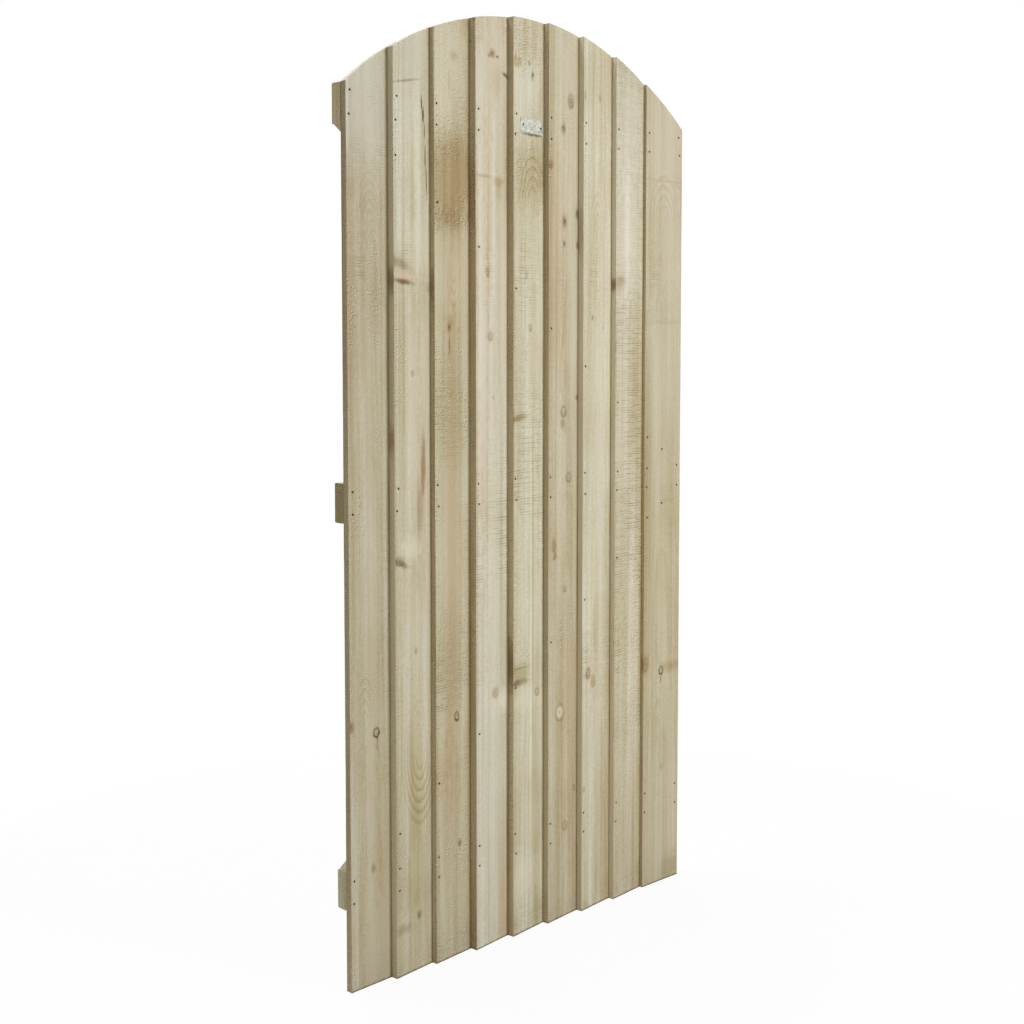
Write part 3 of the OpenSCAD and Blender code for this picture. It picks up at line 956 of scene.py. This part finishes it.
                  # Painted sheen: a paler band down the middle of the face.
                  (52, 1050, 14, 500, 0.9, 0.35, (208, 203, 182)),
                  (66, 230, 34, 100, 0.9, 0.5, (207, 201, 179)),
                  (78, 400, 18, 110, 0.9, 0.4, (208, 204, 184)),
                  (50, 1680, 40, 50, 0.9, 0.4, (206, 203, 188)),
                  (56, 560, 4, 480, 0.9, 0.5, (220, 216, 196)),
                  (40, 470, 50, 26, 0.6, 0.4, (212, 206, 182))]),
    dict(tones=((191, 183, 159), (202, 197, 178), (192, 176, 149)), pith=(58, 24), ring=5.0, wander=28,
         taper=0.045, saw=0.12, torn=0.16,
         rough=[("torn", 50, 620, 40, 60, 0.25), ("figure", 40, 1180, 34, 120, 0.2)],
         knots=[(71, 1658, 9, 1.5, 0.6, 0.5, 0.2), (74, 1650, 5, 1.4, 0.7, 0.4, 0.0),
                (47, 1601, 6, 1.4, 1.0, 0.3, 0.7), (6, 1527, 6, 1.2, 1.0, 0.5, 0.6),
                (51, 1418, 6, 1.7, 1.0, 0.2, 1.0), (50, 1374, 4, 1.5, 1.0, 0.2, 0.3),
                (49, 1039, 8, 1.3, 0.3, 0.55, 0.5), (66, 905, 7, 1.3, 0.3, 0.55, 0.2),
                (46, 1016, 6, 1.2, 0.8, 0.3, 0.1), (18, 769, 5, 2.0, 0.4, 0.3, 1.0),
                (22, 750, 4.5, 1.3, 0.4, 0.6, 0.8), (54, 678, 4.5, 1.4, 0.5, 0.5, 0.1),
                (38, 428, 3, 1.1, 1.0, 0.1, 0.0), (38, 428, 14, 1.15, 0.0, 0.3, 0.0),
                (56, 190, 7, 1.3, 0.3, 0.4, 0.2), (86, 262, 4, 1.2, 0.3, 0.5, 0.2)],
         stains=[(8, 1350, 14, 420, 0.9, 0.3, (228, 208, 180)),
                 (48, 1010, 10, 16, 0.9, 0.4, (214, 206, 184)),
                 (30, 1290, 50, 120, 0.9, 0.15, (226, 206, 170)),
                 (14, 750, 18, 260, 0.9, 0.3, (224, 210, 186)),
                 (16, 100, 24, 140, 0.9, 0.25, (226, 212, 186)),
                 (92, 1436, 6, 12, 0.8, 0.8, (130, 112, 84)),
                 (93, 1372, 5, 8, 0.8, 0.7, (140, 122, 92)),
                 (95, 1066, 8, 6, 0.8, 0.6, (150, 134, 104)),
                 (50, 380, 90, 520, 0.9, 0.25, (252, 236, 218))],
         patches=[(38, 428, 12, 14, 0.5, 0.6, (216, 206, 182)),
                  (70, 1400, 9, 160, 0.9, 0.45, (200, 198, 176)),
                  (84, 430, 14, 90, 0.9, 0.4, (186, 180, 158)),
                  (76, 1200, 18, 180, 0.9, 0.5, (200, 194, 172)),
                  (18, 1350, 20, 170, 0.9, 0.3, (197, 186, 164)),
                  (50, 1720, 34, 70, 0.9, 0.4, (196, 190, 172))]),
    dict(tones=((205, 201, 177), (213, 211, 195), (192, 180, 153)), pith=(48, 34), ring=6.0, wander=30,
         taper=0.045, saw=0.16, torn=0.14,
         rough=[("saw", 50, 560, 60, 140, 0.2), ("saw", 45, 1450, 60, 120, -0.1)],
         knots=[(32, 1228, 3.5, 1.6, 1.0, 0.2, 0.1), (70, 1208, 3, 1.4, 0.6, 0.2, 0.1),
                (21, 497, 6, 1.6, 0.4, 0.6, 1.0), (38, 476, 6, 1.7, 0.3, 0.3, 0.8),
                (8, 255, 4, 1.5, 0.6, 0.3, 0.3), (6, 1672, 3.5, 2.0, 0.6, 0.4, 0.2),
                (55, 1672, 4, 2.2, 0.5, 0.2, 0.1)],
         stains=[(88, 700, 10, 900, 0.9, 0.2, (224, 212, 186)),
                 (18, 8, 9, 10, 0.8, 0.4, (228, 200, 164)),
                 (50, 1700, 80, 120, 0.9, 0.25, (222, 216, 204)),
                 (84, 600, 14, 200, 0.9, 0.25, (222, 214, 192))],
         arches=[(48, 1400, 32, 105, 5, 1, 0.28, (206, 190, 150))],
         # Painted sheen: the first patch is a paler band down the middle of the face.
         patches=[(60, 900, 14, 500, 0.9, 0.3, (212, 204, 190)),
                  (50, 380, 18, 120, 0.9, 0.4, (210, 204, 188)),
                  (48, 980, 16, 300, 0.9, 0.3, (210, 204, 186))]),
    dict(tones=((195, 188, 163), (214, 210, 198), (177, 166, 136)), pith=(190, 60), ring=4.0, wander=16,
         taper=0.03, saw=0.50, torn=0.26,
         rough=[("saw", 55, 1020, 60, 260, 0.1), ("torn", 55, 760, 44, 130, 0.5),
                ("saw", 55, 250, 110, 400, -0.3), ("saw", 55, 1500, 60, 200, 0.2),
                ("torn", 60, 420, 50, 160, 0.3), ("saw", 45, 1650, 80, 140, 0.3)],
         knots=[(30, 640, 3, 1.6, 0.7, 0.2, 0.0)],
         stains=[(8, 1297, 26, 14, 0.9, 0.45, (206, 184, 156)),
                 (50, 120, 90, 240, 0.9, 0.25, (222, 208, 176)),
                 (60, 180, 50, 120, 0.9, 0.15, (230, 220, 190)),
                 (20, 1308, 18, 8, 0.9, 0.5, (186, 164, 138)),
                 (50, 400, 90, 480, 0.9, 0.3, (252, 248, 224))],
         patches=[(40, 1640, 90, 170, 0.9, 0.5, (210, 206, 190)),
                  (36, 1410, 60, 190, 0.9, 0.6, (214, 208, 193)),
                  (20, 960, 26, 260, 0.9, 0.4, (206, 200, 178)),
                  (42, 1400, 10, 140, 0.9, 0.5, (216, 212, 200)),
                  (76, 1380, 18, 150, 0.9, 0.35, (198, 194, 166))]),
    dict(tones=((191, 182, 157), (199, 193, 171), (177, 166, 136)), pith=(62, 46), ring=7.0, wander=24,
         taper=0.04, saw=0.16, torn=0.14,
         rough=[("saw", 70, 1221, 70, 50, 0.12), ("saw", 70, 1518, 70, 40, 0.1),
                ("torn", 70, 1240, 60, 130, 0.25), ("saw", 60, 230, 60, 100, 0.2),
                ("torn", 20, 740, 30, 40, 0.3), ("saw", 55, 340, 80, 120, -0.2)],
         knots=[(59, 467, 7, 1.3, 0.6, 1.0, 0.3), (7, 488, 8, 1.8, 0.4, 0.3, 1.0),
                (62, 255, 4, 1.4, 0.4, 0.4, 0.2)],
         stains=[(94, 472, 36, 12, 0.9, 0.5, (216, 188, 150)),
                 (59, 446, 1.8, 12, 0.7, 0.8, (140, 116, 84)),
                 (90, 20, 30, 40, 0.8, 0.4, (210, 206, 166)),
                 (60, 1520, 90, 3, 0.8, 0.25, (214, 198, 168)),
                 (60, 1221, 90, 5, 0.8, 0.2, (214, 200, 168)),
                 (96, 520, 20, 120, 0.9, 0.2, (226, 216, 190)),
                 (60, 620, 110, 330, 0.9, 0.25, (240, 228, 204))],
         arches=[(60, 1430, 60, 125, 6, 1, 0.24, (206, 190, 150)),
                 (50, 250, 30, 200, 5, 1, 0.2, (206, 190, 150))],
         patches=[(60, 130, 90, 190, 0.9, 0.4, (198, 190, 166)),
                  (80, 1430, 50, 240, 0.9, 0.5, (199, 191, 170)),
                  (60, 1640, 90, 150, 0.9, 0.5, (194, 183, 164)),
                  (60, 1150, 90, 200, 0.9, 0.4, (196, 188, 166))]),
]
print("boards on the sheet:", len(BOARD_SHEET))

# %% Timber finish
KNOT_WORDS = ("across", "height", "radius", "tall", "dark", "ring", "blush")
BLOT_WORDS = ("across", "height", "half_width", "half_height", "soft", "lean")
ARCH_WORDS = ("across", "height", "half_width", "half_height", "rings", "way")
BLOT_LENGTH = 7
ROUGH_SOFT = 0.7
FIGURE = 0.17


def millimetres(tree, left=0.0, turn=0.0):
    """The place on a piece in millimetres, measured from a left edge and turned to run along the grain."""
    coordinates = add(tree, "ShaderNodeTexCoord").outputs["Object"]
    moved = {"Vector": coordinates, "Scale": (1 / MM,) * 3, "Rotation": (0, turn, 0),
             "Location": (-left / MM, 0, 0)}
    return add(tree, "ShaderNodeMapping", moved).outputs[0]


def timber_finish(name, sheet, seed, left=0.0, turn=0.0):
    """A material for one timber: sawn softwood, its patches, stains, arches and knots, then the shader."""
    material, tree = blank_finish(name)
    place = millimetres(tree, left, turn)
    shake = noise(tree, stretched(tree, place, (8, 8, 11)), 1.0).outputs[1]
    shake = vector(tree, "MULTIPLY_ADD", shake, (5.0, 0.0, 7.0), (-2.5, 0.0, -3.5))
    bent = vector(tree, "ADD", place, shake)
    ragged = waves(tree, place, (7, 7, 18))

    def blot(*words):
        """A soft-edged oval on the timber."""
        return use(tree, STAIN, place=place, ragged=ragged, **dict(zip(BLOT_WORDS, words)))["mask"]

    grown = dict.fromkeys(("core", "heart", "rim", "halo", "push"), 0.0)
    for knot in sheet["knots"]:
        found = use(tree, KNOT, place=bent, **dict(zip(KNOT_WORDS, knot)), **grown)
        grown = {label: found[label] for label in grown}
    amounts = {"torn": sheet["torn"], "saw": sheet["saw"], "figure": FIGURE}
    for kind, *shape, more in sheet["rough"]:
        amounts[kind] = times_plus(tree, blot(*shape, ROUGH_SOFT), more, amounts[kind])
    main, pale, deep = (srgb(*tone) for tone in sheet["tones"])
    growth = {word: sheet[word] for word in ("ring", "wander", "taper")}
    wood = use(tree, SAWN_SOFTWOOD, place=place, main=main, pale=pale, deep=deep,
               pith_across=sheet["pith"][0], pith_depth=sheet["pith"][1], push=grown["push"],
               seed=float(seed), **growth, **amounts)
    colour = wood["colour"]
    for marks, kind in (("patches", "MIX"), ("stains", "MULTIPLY")):
        for mark in sheet[marks]:
            *shape, strength, tone = mark[:BLOT_LENGTH]
            mask = blot(*shape, *mark[BLOT_LENGTH:])
            colour = mix(tree, times(tree, mask, strength), colour, srgb(*tone), kind)
    for *shape, strength, tone in sheet.get("arches", []):
        lines = use(tree, ARCHED_FIGURE, place=bent, **dict(zip(ARCH_WORDS, shape)))["lines"]
        colour = shade(tree, colour, lines, strength, tone)
    if sheet["knots"]:
        specks = times_plus(tree, field(tree, place, (2.6, 2.6, 3.4), 0.38, 0.62, 2.0), 0.6, 0.4)
        colour = shade(tree, colour, grown["halo"], 0.6, (230, 198, 168))
        colour = mix(tree, times(tree, grown["heart"], 0.35), colour, srgb(218, 206, 182))
        colour = shade(tree, colour, grown["rim"], 0.85, (116, 100, 76))
        colour = shade(tree, colour, times(tree, grown["core"], specks), 1.0, (112, 84, 60))
    relief = {"Height": wood["height"], "Distance": MM, "Strength": 0.8}
    bump = add(tree, "ShaderNodeBump", relief).outputs[0]
    shader = add(tree, "ShaderNodeBsdfPrincipled", {"Base Color": colour, "Normal": bump, "Roughness": 0.85,
                                                    "Specular IOR Level": 0.2})
    add(tree, "ShaderNodeOutputMaterial", {"Surface": shader.outputs[0]})
    return material


print("timber finish ready")

# %% [markdown]
# ## Edges and end grain
# The thick edges of all the boards share one finish, and so do their ends. The places of an edge's marks
# are measured from the middle of the leaf, so each lies on the edge of one board. Every face also gets a
# torn left arris, a darker line along its foot, and, where the next board laps it, a painted shade: a
# brown tinge in the corner that the step shades.

# %% Edge and end finishes
EDGE_SHEET = dict(tones=((204, 190, 158), (214, 202, 173), (188, 169, 135)), pith=(-80, 300), ring=5.0,
                  wander=30, taper=0.02, saw=0.2, torn=0.34,
                  rough=[],
                  knots=[],
                  stains=[(-157, 1450, 12, 70, 0.7, 0.4, (214, 176, 146)),
                          (-450, 900, 12, 3000, 0.3, 0.75, (222, 218, 210)),
                          (-157, 1150, 10, 260, 0.8, 0.12, (222, 190, 166)),
                          (-255, 1280, 10, 40, 0.7, 0.6, (205, 175, 140)),
                          (-352, 1290, 10, 26, 0.8, 0.7, (170, 146, 110)),
                          (-352, 1000, 10, 30, 0.8, 0.6, (180, 156, 120)),
                          (-60, 545, 10, 60, 0.8, 0.75, (150, 124, 92)),
                          (232, 1297, 10, 16, 0.8, 0.8, (150, 122, 92)),
                          (135, 1400, 10, 50, 0.8, 0.4, (190, 166, 130)),
                          (330, 488, 10, 20, 0.8, 0.6, (190, 150, 112))],
                  patches=[(135, 900, 12, 3000, 0.3, 0.8, (226, 215, 187)),
                           (232, 900, 12, 3000, 0.3, 0.95, (224, 213, 185)),
                           (-352, 900, 12, 3000, 0.3, 0.45, (222, 212, 188)),
                           (37, 900, 12, 3000, 0.3, 0.2, (222, 210, 182))])
END_SHEET = dict(tones=((222, 217, 200), (230, 226, 212), (210, 200, 176)), pith=(0, 90), ring=3.5,
                 wander=20, taper=0.02, saw=0.1, torn=0.3,
                 rough=[],
                 knots=[],
                 stains=[],
                 patches=[])
ARRIS_WEAR = ("torn", 0, 900, 9, 3000, 0.2)
# A darker line along each board's foot.
FOOT_DARK_LINE = (60, -1, 400, 4.5, 0.6, 0.75, (130, 116, 90))
# Painted shade: a warm brown tint in the corner where the next board's step shades the face.
LAP_PAINTED_SHADE = (98, 900, 6, 3000, 0.9, 1.0, (255, 244, 208))
sawn_edge = timber_finish("sawn_edge", EDGE_SHEET, 31)
end_grain = timber_finish("end_grain", END_SHEET, 37)
for index, piece in enumerate(board_pieces):
    left = foot_corners(BOARDS[index])[0][0]
    sheet = BOARD_SHEET[index]
    # The darker foot line on every board, and the painted lap shade on every board that the next one laps.
    foot_line_and_lap_shade = [FOOT_DARK_LINE, LAP_PAINTED_SHADE] if index < len(BOARDS) - 1 else [FOOT_DARK_LINE]
    sheet = dict(sheet, rough=sheet["rough"] + [ARRIS_WEAR], stains=sheet["stains"] + foot_line_and_lap_shade)
    face = timber_finish("featheredge_face_%d" % (index + 1), sheet, index + 1, left)
    for material in (face, sawn_edge, end_grain):
        piece.data.materials.append(material)
print("board finishes:", len(board_pieces))

# %% [markdown]
# ## Finish of the framing
# The photograph shows only the ends of the ledges and the tips of the braces, so the backs are finished
# plainly: the same pale treated softwood with its grain turned to run along each piece.

# %% Framing finish
FRAMING_SHEET = dict(tones=((192, 180, 150), (203, 194, 168), (180, 164, 130)), pith=(30, 60), ring=4.5,
                     wander=24, taper=0.02, saw=0.2, torn=0.14,
                     rough=[],
                     knots=[],
                     stains=[],
                     patches=[])
BATTEN_END_SHEET = dict(FRAMING_SHEET, tones=((198, 186, 152), (206, 197, 168), (184, 169, 132)),
                        torn=0.3)
END_SHADES = {"top_ledge": (1.09, 1.08, 1.06),
              "middle_ledge": (0.82, 0.80, 0.71),
              "bottom_ledge": (1.01, 1.05, 1.08)}
PLAIN_SHADE = (1, 1, 1)


def shaded_end(shares):
    """The sheet of a batten's end, with the red, green and blue of its tones taken up or down."""
    tones = BATTEN_END_SHEET["tones"]
    tones = [tuple(round(c * share) for c, share in zip(tone, shares)) for tone in tones]
    return dict(BATTEN_END_SHEET, tones=tones)


for seed, (name, piece) in enumerate(framing_pieces.items()):
    turn = -math.pi / 2 + brace_slopes.get(name, 0.0)
    batten = timber_finish("sawn_" + name, FRAMING_SHEET, 50 + seed, turn=turn)
    end_sheet = shaded_end(END_SHADES.get(name, PLAIN_SHADE))
    batten_end = timber_finish("end_of_" + name, end_sheet, 47)
    for material in (batten, batten, batten_end):
        piece.data.materials.append(material)
print("framing finishes:", list(framing_pieces))

# %% [markdown]
# ## Nails
# Every nail is the same, so one nail is described once as a Geometry Nodes tree and placed at each
# head's middle. It is a round wire nail: a flat head with a bevelled rim, a shank and a point, made of
# open rings whose meeting edges are merged, so each nail is one closed skin. Each leans a little, as
# nails driven by hand do. The result is turned into a plain mesh, and the recipe is taken off again.

# %% Steel finish
def metal_finish(name, bright, dull, cell, metallic, rough, shine):
    """A bare metal with cloudy tarnish."""
    material, tree = blank_finish(name)
    cloud = field(tree, millimetres(tree), (cell, cell, cell), 0.35, 0.65, 3.0)
    colour = mix(tree, cloud, srgb(*bright), srgb(*dull))
    bump = add(tree, "ShaderNodeBump", {"Height": cloud, "Distance": 0.08 * MM, "Strength": 0.6}).outputs[0]
    surface = {"Base Color": colour, "Normal": bump, "Metallic": metallic, "Roughness": rough,
               "Specular IOR Level": shine}
    shader = add(tree, "ShaderNodeBsdfPrincipled", surface)
    add(tree, "ShaderNodeOutputMaterial", {"Surface": shader.outputs[0]})
    return material


nail_steel = metal_finish("dull_steel", (54, 44, 29), (36, 29, 19), cell=3.0, metallic=0.1, rough=0.7,
                          shine=0.15)
print("steel ready")

# %% Nail recipe
NAIL_SIDES = 20
FACE_SHARE = 0.82
BEVEL_SHARE = 0.4
MERGE_WITHIN = 1e-6


def recipe(name, **inputs):
    """A new Geometry Nodes tree with a mesh in, named sizes, and a mesh out."""
    tree = bpy.data.node_groups.new(name, "GeometryNodeTree")
    tree.interface.new_socket("Geometry", in_out="INPUT", socket_type="NodeSocketGeometry")
    for label, kind in inputs.items():
        tree.interface.new_socket(label, in_out="INPUT", socket_type="NodeSocket" + kind)
    tree.interface.new_socket("Geometry", in_out="OUTPUT", socket_type="NodeSocketGeometry")
    return tree, tree.nodes.new("NodeGroupInput").outputs


def open_ring(tree, low, low_radius, high, high_radius):
    """An open wall between two circles on the nail's axis."""
    sizes = {"Vertices": NAIL_SIDES, "Radius Bottom": low_radius, "Radius Top": high_radius,
             "Depth": minus(tree, high, low)}
    wall = add(tree, "GeometryNodeMeshCone", sizes, fill_type="NONE")
    lifted = {"Geometry": wall.outputs[0], "Translation": point(tree, 0.0, 0.0, low)}
    return add(tree, "GeometryNodeTransform", lifted).outputs[0]


tree, given = recipe("driven_nail", head_radius="Float", head_thickness="Float", shank_radius="Float",
                     length="Float", point_length="Float", lean="Float", seed="Int", finish="Material")
neck = minus(tree, given["length"], given["point_length"])
face_radius = times(tree, given["head_radius"], FACE_SHARE)
rings = [(0.0, face_radius),
         (times(tree, given["head_thickness"], BEVEL_SHARE), given["head_radius"]),
         (given["head_thickness"], given["head_radius"]),
         (given["head_thickness"], given["shank_radius"]),
         (neck, given["shank_radius"]),
         (given["length"], 0.0)]
skins = tree.nodes.new("GeometryNodeJoinGeometry")
sizes = {"Vertices": NAIL_SIDES, "Radius": face_radius}
face = add(tree, "GeometryNodeMeshCircle", sizes, fill_type="NGON")
outward = add(tree, "GeometryNodeFlipFaces", {"Mesh": face.outputs[0]})
tree.links.new(outward.outputs[0], skins.inputs[0])
for (low, low_radius), (high, high_radius) in zip(rings, rings[1:]):
    tree.links.new(open_ring(tree, low, low_radius, high, high_radius), skins.inputs[0])
nail = add(tree, "GeometryNodeMergeByDistance", {"Geometry": skins.outputs[0], "Distance": MERGE_WITHIN})
most = given["lean"]
least = times(tree, most, -1.0)
limits = {"Min": point(tree, least, least, least), "Max": point(tree, most, most, most),
          "Seed": given["seed"]}
leaning = add(tree, "FunctionNodeRandomValue", limits, data_type="FLOAT_VECTOR")
turn = vector(tree, "ADD", leaning.outputs[0], (-math.pi / 2, 0, 0))
spread = {"Points": given["Geometry"], "Instance": nail.outputs[0], "Rotation": turn}
placed = add(tree, "GeometryNodeInstanceOnPoints", spread)
whole = add(tree, "GeometryNodeRealizeInstances", {0: placed.outputs[0]})
steel = add(tree, "GeometryNodeSetMaterial", {"Geometry": whole.outputs[0], "Material": given["finish"]})
tree.links.new(steel.outputs[0], tree.nodes.new("NodeGroupOutput").inputs[0])
NAIL_RECIPE = tree
print("nail recipe ready")

# %% Drive the nails
def made_by(name, start_mesh, recipe_tree, **sizes):
    """Run a recipe on a mesh and keep only the plain mesh that it makes."""
    maker = bpy.data.objects.new(name + "_maker", start_mesh)
    scene.collection.objects.link(maker)
    step = maker.modifiers.new("recipe", "NODES")
    step.node_group = recipe_tree
    for socket in recipe_tree.interface.items_tree:
        if socket.in_out == "INPUT" and socket.name in sizes:
            step[socket.identifier] = sizes[socket.name]
    ready = maker.evaluated_get(bpy.context.evaluated_depsgraph_get())
    mesh = bpy.data.meshes.new_from_object(ready)
    bpy.data.objects.remove(maker)
    piece = bpy.data.objects.new(name, mesh)
    mesh.name = name
    scene.collection.objects.link(piece)
    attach(piece, "root")
    return piece


nail_points = bpy.data.meshes.new("nail_points")
nail_points.from_pydata(nails.tolist(), [], [])
NAIL_LENGTH = max(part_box(name)[1].y for name in NAIL_NODES) - max(nails[:, 1])
driven = made_by("driven_nails", nail_points, NAIL_RECIPE, head_radius=2.1 * MM, head_thickness=1.2 * MM,
                 shank_radius=1.3 * MM, length=NAIL_LENGTH, point_length=3 * MM,
                 lean=math.radians(0.7), seed=5, finish=nail_steel)
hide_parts(*NAIL_NODES)
print("nails", len(nails), "faces", len(driven.data.polygons), "length", round(NAIL_LENGTH / MM, 1))

# %% [markdown]
# ## The tag
# A little plate of thin bare metal is pinned near the top of the middle board. It has been bent by
# handling, and its lower edge stands off the wood. The plate is a fine grid laid over the drawn plate,
# dented by smooth random heights.

# %% Measure the drawn tag
TAG_THICK = 0.5 * MM
TAG_CORNER = 2 * MM
TAG_LIFT = 1.7 * MM
DENT, FINE_DENT = 0.4 * MM, 0.17 * MM
TAG_SHARP = math.radians(40)
TAG_COLUMNS, TAG_ROWS = 44, 22
plate_points = points_of("tag_plate")
tag_middle = plate_points.mean(axis=0)
directions = np.linalg.svd(np.unique(plate_points.round(6), axis=0) - tag_middle)[2]
long_dir = directions[0] * np.sign(directions[0][0])
up_dir = directions[1] * np.sign(directions[1][2])
out_dir = np.cross(long_dir, up_dir)
tag_size = [np.ptp((plate_points - tag_middle) @ way) for way in (long_dir, up_dir, out_dir)]
pin_points = points_of("tag_pins")
sides = [(pin_points[:, 0] - tag_middle[0]) * side > 0 for side in (-1, 1)]
pin_spots = [pin_points[side].mean(axis=0) - tag_middle for side in sides]
print("tag size", [round(s / MM, 1) for s in tag_size])

# %% Bend the tag
def tag_sheet():
    """Points across and up the plate, and how far its front stands out from the drawn plate's middle."""
    up = np.linspace(-0.5, 0.5, TAG_ROWS + 1)[:, None] * tag_size[1]
    past = np.clip(np.abs(up) - tag_size[1] / 2 + TAG_CORNER, 0, TAG_CORNER)
    half = tag_size[0] / 2 - TAG_CORNER + np.sqrt(TAG_CORNER ** 2 - past ** 2)
    across = np.linspace(-1, 1, TAG_COLUMNS + 1)[None, :] * half
    up = up + across * 0
    dents = DENT * (1 + hills(across, up, (9 * MM, 7 * MM), 901))
    dents = dents + FINE_DENT * (1 + hills(across, up, (3 * MM, 3 * MM), 902))
    for spot in pin_spots:
        away = np.hypot(across - spot @ long_dir, up - spot @ up_dir)
        dents = dents * np.clip((away - 2 * MM) / (4 * MM), 0, 1)
    low = np.clip((-up / tag_size[1] - 0.12) / 0.38, 0, 1) ** 2
    wave = 1.2 + 0.2 * hills(across, up, (14 * MM, 1), 903)
    lift = low * (0.8 + 0.4 * across / tag_size[0]) * wave * TAG_LIFT
    return across, up, tag_size[2] / 2 - dents + lift


across, up, out = tag_sheet()
flat = tag_middle + across[..., None] * long_dir + up[..., None] * up_dir
layers = [flat + (out - back)[..., None] * out_dir for back in (0.0, TAG_THICK)]
rows, columns = across.shape
front_ids = np.arange(rows * columns).reshape(rows, columns)
corners = [front_ids[:-1, :-1], front_ids[:-1, 1:], front_ids[1:, 1:], front_ids[1:, :-1]]
cells = np.stack(corners, axis=-1).reshape(-1, 4)
rim = np.concatenate([front_ids[0, :-1], front_ids[:-1, -1], front_ids[-1, :0:-1], front_ids[:0:-1, 0]])
behind = rows * columns
rim_cells = [[a, a + behind, b + behind, b] for a, b in zip(rim.tolist(), np.roll(rim, -1).tolist())]
mesh = bpy.data.meshes.new("bent_tag")
mesh.from_pydata(np.concatenate([layer.reshape(-1, 3) for layer in layers]).tolist(), [],
                 cells.tolist() + (cells[:, ::-1] + behind).tolist() + rim_cells)
mesh.polygons.foreach_set("use_smooth", [True] * len(mesh.polygons))
mesh.set_sharp_from_angle(angle=TAG_SHARP)
tag_metal = metal_finish("bare_tag_metal", (200, 200, 188), (158, 160, 150), cell=5.0, metallic=0.2,
                         rough=0.6, shine=0.5)
mesh.materials.append(tag_metal)
tag = bpy.data.objects.new("bent_tag", mesh)
scene.collection.objects.link(tag)
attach(tag, "root")
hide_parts("tag_plate")
pins = solids["tag_pins"].data
pins.materials.clear()
pins.materials.append(nail_steel)
print("tag faces", len(mesh.polygons))
